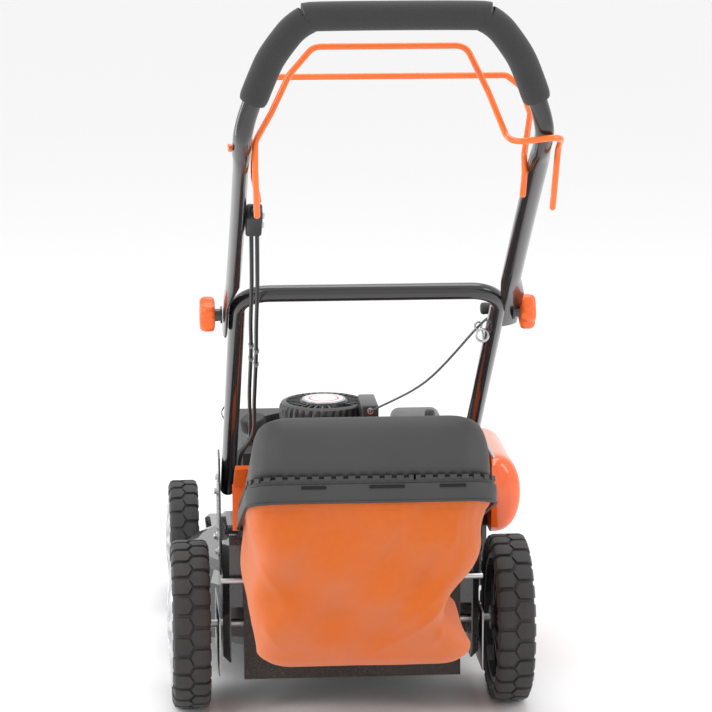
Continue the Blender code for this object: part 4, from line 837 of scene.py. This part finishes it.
def level_at(depth):
    for low, high in zip(LEVELS, LEVELS[1:]):
        if depth <= high[0]:
            t = (depth - low[0]) / (high[0] - low[0])
            return [a + (b - a) * t for a, b in zip(low, high)]
    return list(LEVELS[-1])


def cloth_point(x, y, depth):
    """Height of the tub's skin, with its folds pushed in or out of the outline."""
    top = rim_line(y) - 0.014
    low = 0.140 + 0.035 * (y - BAG_REAR) / (BAG_FRONT - BAG_REAR)
    z = top + (low - top) * depth
    gather = exp(-depth * 9.0) * 0.0022 * sin(x * 520.0 + y * 470.0)
    fold = 0.0052 * sin((x * 0.8 + z * 1.35) * 34.0 + 1.1) * sin(pi * min(1.0, depth * 1.05)) ** 0.7
    fold += 0.0030 * sin((x * 1.1 - z * 0.8) * 57.0 + 0.4) * sin(pi * depth) ** 1.2
    soft = noise.noise(Vector((x * 9.0, y * 9.0, z * 9.0))) * 0.0050 * min(1.0, depth * 3.0)
    rear = max(0.0, 1.0 - max(0.0, y - BAG_REAR - 0.05) / 0.06)
    for x0, d0, x1, d1, wide, tall in CREASES:
        run = Vector((x1 - x0, (d1 - d0) * 0.27))
        away = Vector((x - x0, (depth - d0) * 0.27))
        along = away.dot(run) / run.length_squared
        off = abs(away.x * run.y - away.y * run.x) / run.length
        fade = max(0.0, min(1.0, along * 4.0, (1.0 - along) * 4.0))
        fold += rear * tall * fade * exp(-off / wide)
    return z, gather + fold * 1.15 + soft


def drawn_in(x, depth):
    """How far the right-hand side hangs inside the tub's outline, flaring again at the bottom corner."""
    if x <= 0:
        return 0.0
    for (d0, in0), (d1, in1) in zip(SAG, SAG[1:]):
        if depth <= d1:
            return (in0 + (in1 - in0) * (depth - d0) / (d1 - d0)) * (x / 0.165) ** 2
    return 0.0


MOUTH_HALF_W = 0.124
MOUTH_LOW = 0.208
MOUTH_HIGH = 0.281
CLOTH_LEVELS = 60
CLOTH_AROUND = 200
CLOTH_STEP = 0.007
cloth_rings = []
for i in range(CLOTH_LEVELS + 1):
    depth = (i / CLOTH_LEVELS) ** 0.92
    _, half_w, rear, front, corner = level_at(depth)
    outline = round_plan(half_w, BAG_REAR + rear, BAG_FRONT - front, corner, 0.034, 14)
    dense = []
    for (x0, y0), (x1, y1) in zip(outline, outline[1:] + outline[:1]):
        parts = max(1, int(round(sqrt((x1 - x0) ** 2 + (y1 - y0) ** 2) / CLOTH_STEP)))
        dense += [(x0 + (x1 - x0) * k / parts, y0 + (y1 - y0) * k / parts) for k in range(parts)]
    closed = dense + [dense[0]]
    runs = [0.0]
    for (x0, y0), (x1, y1) in zip(closed, closed[1:]):
        runs.append(runs[-1] + sqrt((x1 - x0) ** 2 + (y1 - y0) ** 2))
    made = []
    k = 0
    for j in range(CLOTH_AROUND):
        want = runs[-1] * j / CLOTH_AROUND
        while runs[k + 1] < want:
            k += 1
        t = (want - runs[k]) / max(1e-9, runs[k + 1] - runs[k])
        x = closed[k][0] + (closed[k + 1][0] - closed[k][0]) * t
        y = closed[k][1] + (closed[k + 1][1] - closed[k][1]) * t
        z, push = cloth_point(x, y, depth)
        outward = Vector((x / 0.17, (y + 0.26) / 0.16, 0))
        far_out = outward.length > 0.2
        outward = Vector((outward.x ** 5, outward.y ** 5, 0)).normalized() if far_out else Vector((0, -1, 0))
        flare = exp(-((x - 0.150) / 0.030) ** 2 - ((depth - 0.93) / 0.10) ** 2
            - ((y + 0.33) / 0.06) ** 2) * 0.006
        pinch = exp(-((x + 0.165) / 0.03) ** 2 - ((depth - 0.45) / 0.30) ** 2) * -0.002
        hold = min(1.0, depth * 14.0)
        x -= drawn_in(x, depth)
        made.append(at(x, y, z) + outward * ((push - 0.002) * hold + (flare + pinch) * hold))
    cloth_rings.append(made)
middle = []
last = cloth_rings[-1]
centre = sum(last, Vector()) / len(last)
for share in (0.82, 0.62, 0.42, 0.22):
    inner = [centre.lerp(p, share) for p in last]
    middle.append([p + Vector((0, 0, -0.0025 * (1 - share) + noise.noise(p * 14.0) * 0.003)) for p in inner])
rows = cloth_rings + middle
verts = [p for ring in rows for p in ring]
faces = []
for i in range(len(rows) - 1):
    for j in range(CLOTH_AROUND):
        k = (j + 1) % CLOTH_AROUND
        quad = (i * CLOTH_AROUND + j, i * CLOTH_AROUND + k, (i + 1) * CLOTH_AROUND + k,
            (i + 1) * CLOTH_AROUND + j)
        spot = sum((verts[q] for q in quad), Vector()) / 4
        at_front = spot.y > REAR_AXLE_Y + BAG_FRONT - 0.045
        if not (at_front and abs(spot.x) < MOUTH_HALF_W and MOUTH_LOW < spot.z < MOUTH_HIGH):
            faces.append(quad)
faces.append(tuple(range(len(verts) - CLOTH_AROUND, len(verts))))
cloth = shape("bag_tub", verts, faces, cloth_look, "grass_bag", ["bag_cloth"], smooth=0)
wall = cloth.modifiers.new("cloth", "SOLIDIFY")
wall.thickness = 0.0014
wall.offset = -1.0
hem_rows = []
for depth_row, push_out in ((1, 0.0006), (2, 0.0016), (3, 0.0016), (4, 0.0006)):
    spine = cloth_rings[depth_row]
    middle_y = sum(p.y for p in spine) / CLOTH_AROUND
    hem_rows.append([p + Vector((p.x, p.y - middle_y, 0)).normalized() * push_out for p in spine])
hem = shape("bag_hem", *skinned(hem_rows, caps=False), cloth_look, "grass_bag", smooth=0)

# ---- Engine
# A cast block under a black blower shroud, with the ribbed recoil cap and its disc on top.
# The tank wraps the left side, and the filter cover and carburettor sit on the right.
shroud_look = moulded("shroud_plastic", (0.026, 0.026, 0.027), (0.014, 0.014, 0.015), 0.36, 700.0, 0.2,
    coat=0.15)
cast_look = moulded("cast_aluminium", (0.58, 0.58, 0.57), (0.40, 0.40, 0.40), 0.46, 520.0, 0.55, metal=0.9,
    rough_swing=0.2)
wear(shroud_look, "blower_housing", "spark_plug")
wear(cast_look, "engine_block", "carburettor", "gearbox")
wear(steel_look, "crankshaft", "gearbox_pulley", "shield_rod", "muffler")
blade_look = moulded("blade_steel", (0.34, 0.34, 0.35), (0.16, 0.15, 0.14), 0.42, 260.0, 0.3, metal=0.85)
wear(blade_look, "blade")
crank = at(-0.018, 0.310, 0.0)
CAP_R = 0.0715
CAP_TOP_Z = 0.403
CAP_LOW_Z = 0.3604


def ribbed(step, radius, height, turn):
    if 2 <= step <= 4:
        wave = 0.5 + 0.5 * cos(36 * turn)
        return radius - 0.0026 * (1 - min(1.0, wave * 1.9)), height
    return radius, height


shape("recoil_cover", *spun([(0, CAP_LOW_Z), (CAP_R, CAP_LOW_Z), (CAP_R, CAP_LOW_Z + 0.003),
    (CAP_R, CAP_TOP_Z - 0.012), (CAP_R - 0.0010, CAP_TOP_Z - 0.0075), (CAP_R - 0.003, CAP_TOP_Z - 0.0035),
    (CAP_R - 0.007, CAP_TOP_Z - 0.0014), (0.060, CAP_TOP_Z - 0.0010), (0.0585, CAP_TOP_Z - 0.0050),
    (0.0400, CAP_TOP_Z - 0.0050), (0.0385, CAP_TOP_Z - 0.0004), (0, CAP_TOP_Z - 0.0004)], crank, (0, 0, 1),
    216, ribbed), shroud_look, "chassis", ["recoil_cap"], smooth=25.0)
fins, fin_faces = [], []
for i in range(30):
    turn = 2 * pi * i / 30
    if 5.0 < turn < 5.5:
        continue
    out = Vector((cos(turn), sin(turn), 0))
    across = Vector((-sin(turn), cos(turn), 0))
    o = len(fins)
    for z in (CAP_TOP_Z - 0.0052, CAP_TOP_Z - 0.0008):
        for r, s in ((0.0395, -1), (0.0590, -1), (0.0590, 1), (0.0395, 1)):
            fins.append(crank + out * r + across * (s * 0.0014) + Vector((0, 0, z)))
    fin_faces += brick_faces(o)
shape("recoil_fins", fins, fin_faces, shroud_look, "chassis", smooth=30.0)
rounded_box(at(0.0475 - 0.0135, 0.1955, CAP_TOP_Z - 0.020), at(0.0475 + 0.0135, 0.282, CAP_TOP_Z + 0.0148),
    0.0035, shroud_look, "rope_outlet", "chassis")
shape("rope_eyelet", *spun([(0.0020, -0.0016), (0.0052, -0.0016), (0.0056, 0.0), (0.0048, 0.0014),
    (0.0026, 0.0014)], at(0.0475, 0.1950, CAP_TOP_Z + 0.0055), (0, -1, 0), 24), steel_look, "chassis",
    smooth=50.0)
shape("disc_ring", *spun([(0, CAP_TOP_Z - 0.0002), (0.0349, CAP_TOP_Z - 0.0002), (0.0352, CAP_TOP_Z + 0.0016),
    (0.0344, CAP_TOP_Z + 0.0029), (0.0322, CAP_TOP_Z + 0.0033), (0.0310, CAP_TOP_Z + 0.0028),
    (0, CAP_TOP_Z + 0.0026)], crank, (0, 0, 1), 72), hub_look, "chassis", ["cap_disc"], smooth=40.0)
disc_look = moulded("disc_white", (0.82, 0.82, 0.82), (0.76, 0.76, 0.77), 0.28, 300.0, 0.03, coat=0.3)
red_look = moulded("disc_red", (0.62, 0.035, 0.02), (0.54, 0.025, 0.015), 0.30, 300.0, 0.03, coat=0.3)
for name, r0, r1, z0, hue in (("disc_outer", 0.0245, 0.0308, 0.0030, disc_look),
        ("disc_line", 0.0215, 0.0245, 0.0031, red_look), ("disc_middle", 0.0, 0.0215, 0.0032, disc_look)):
    profile = [(r0, CAP_TOP_Z + 0.0026), (r1, CAP_TOP_Z + 0.0026), (r1, CAP_TOP_Z + z0), (r0, CAP_TOP_Z + z0)]
    shape(name, *spun(profile, crank, (0, 0, 1), 64), hue, "chassis", smooth=30.0)
rounded_box(at(0.0820, 0.130, 0.2796), at(0.160, 0.248, 0.4050), 0.0140, shroud_look, "filter_cover",
    "chassis", ["air_filter_cover"], segments=5)
shape("filter_knob", *spun([(0, 0.4035), (0.0078, 0.4035), (0.0082, 0.4060), (0.0076, 0.4130),
    (0.0060, 0.4160), (0, 0.4168)], at(0.138, 0.165, 0), (0, 0, 1), 40, lambda step, r, h,
    turn: (r * (1 - 0.09 * (0.5 + 0.5 * cos(10 * turn))), h)), plastic_look, "chassis", smooth=40.0)
tank_look = moulded("tank_plastic", (0.030, 0.030, 0.031), (0.017, 0.017, 0.018), 0.42, 900.0, 0.3)
wear(tank_look, "fuel_tank")
FILLER = at(-0.131, 0.195, 0.362)
FILLER_AXIS = Vector((-0.16, -0.20, 1.0)).normalized()
shape("filler_cap", *spun([(0, 0.0226), (0.0190, 0.0226), (0.0200, 0.0250), (0.0200, 0.0390), (0.0186, 0.0425),
    (0.0150, 0.0440), (0.0120, 0.0432), (0, 0.0436)], FILLER, FILLER_AXIS, 120, lambda step, r, h,
    turn: (r - (0.0012 * (0.5 + 0.5 * cos(30 * turn)) if 1 < step < 5 else 0), h)), plastic_look, "fuel_cap",
    ["fuel_cap"], smooth=35.0)

# ---- Side chute and its cover
# A black moulded chute on the right of the deck, closed by a sprung cover in glossy orange plastic.
# The cover is a deep pill-shaped shell, hung on a pin along its top edge.
wear(plastic_look, "side_chute")
gloss_look = moulded("orange_gloss", (0.93, 0.130, 0.006), (0.82, 0.095, 0.004), 0.16, 260.0, 0.04, coat=0.8,
    rough_swing=0.06)
cover_low, cover_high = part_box("side_cover")
HINGE_X = 0.2344
rings = []
for i in range(25):
    t = i / 24
    y = cover_low[1] + (cover_high[1] - cover_low[1]) * t
    edge = min(t, 1 - t) * 2
    full = (1 - (1 - min(1.0, edge * 3.2)) ** 2.6) ** 0.5
    ring = []
    for j in range(36):
        turn = -pi / 2 + pi * j / 35
        x = HINGE_X + 0.0498 * (abs(cos(turn)) ** 0.72) * (0.55 + 0.45 * full)
        z = 0.279 + 0.0625 * sin(turn) * (0.80 + 0.20 * full)
        ring.append(Vector((x, y, z)))
    rings.append(ring)
shape("chute_cover", *skinned(rings), gloss_look, "side_cover", ["side_cover"], smooth=45.0)
rod = [Vector((HINGE_X + 0.002, cover_low[1] - 0.006, 0.3435)),
    Vector((HINGE_X + 0.002, cover_high[1] + 0.006, 0.3435))]
shape("chute_cover_pin", *skinned(domed(rod, 0.0022, 12)), steel_look, "chassis")

# ---- Deck, brackets, flap and trailing shield
# A pressed steel deck in glossy black enamel, with bolted handle brackets on both sides.
# The orange flap rests on the bag's front edge; a speckled rubber shield hangs across the back.
look, shader, start, place = open_look("deck_enamel", coat=0.7, coat_rough=0.08)
peel = mottle(start, place, 210.0, 2.0)
film = mottle(start, place, 11.0, 5.0, 0.7)
close_look(look, shader, tint(start, film ** 1.8, (0.016, 0.017, 0.018), (0.050, 0.051, 0.053)),
    film * 0.14 + 0.20, peel, 0.12, 0.0005)
deck_look = look
wear(deck_look, "deck_shell", "handle_bracket_left", "handle_bracket_right")
wear(knob_look, "rear_flap")
look, shader, start, place = open_look("shield_rubber")
flecks = start.node("ShaderNodeTexVoronoi", {"feature": "F1"}, {"Vector": place, "Scale": 380.0}, "Distance")
spots = flecks.maths("LESS_THAN", flecks, 0.28) * mottle(start, place, 90.0, 2.0)
close_look(look, shader, tint(start, spots, (0.022, 0.018, 0.016), (0.150, 0.120, 0.100)), spots * 0.1 + 0.70,
    mottle(start, place, 500.0), 0.4, 0.0006)
shield_look = look
wear(shield_look, "trailing_shield")


def bolt(name, spot, way, body, across=0.0055, look=None):
    """A hex head on a washer."""
    shape(name + "_washer", *spun([(0, 0), (across * 1.45, 0), (across * 1.45, 0.0010), (across * 1.1, 0.0012),
        (0, 0.0012)], spot, way, 24), look or steel_look, body)
    shape(name + "_head", *spun([(0, 0.0010), (across, 0.0010), (across, 0.0042), (across * 0.86, 0.0050),
        (0, 0.0050)], spot, way, 6), look or steel_look, body, smooth=20.0)


for side, tag in ((-1, "left"), (1, "right")):
    for i, (y, z) in enumerate(((0.020, 0.350), (0.085, 0.312), (0.015, 0.235), (0.105, 0.235))):
        bolt("bracket_bolt_%s_%d" % (tag, i), at(side * 0.1970, y, z), (side, 0, 0), "chassis")
for side, tag in ((-1, "left"), (1, "right")):
    coil = []
    for k in range(7 * 14 + 1):
        turn = 2 * pi * k / 14
        coil.append(at(side * (0.1690 + 0.0210 * k / 98), -0.0200 + 0.0062 * cos(turn),
            0.2780 + 0.0062 * sin(turn)))
    shape("flap_spring_" + tag, *skinned(tube_rings(coil, 0.0011, 8)), cable_look, "chassis")
    shape("flap_spring_pin_" + tag, *skinned(domed([at(side * 0.152, -0.020, 0.278),
        at(side * 0.1935, -0.020, 0.278)], 0.0036, 14)), steel_look, "chassis")

for side, tag in ((-1, "left"), (1, "right")):
    rounded_box(at(min(side * 0.1975, side * 0.2005), -0.050, 0.058),
        at(max(side * 0.1975, side * 0.2005), 0.120, 0.150), 0.0010, steel_look, "height_plate_" + tag,
        "chassis", segments=2)
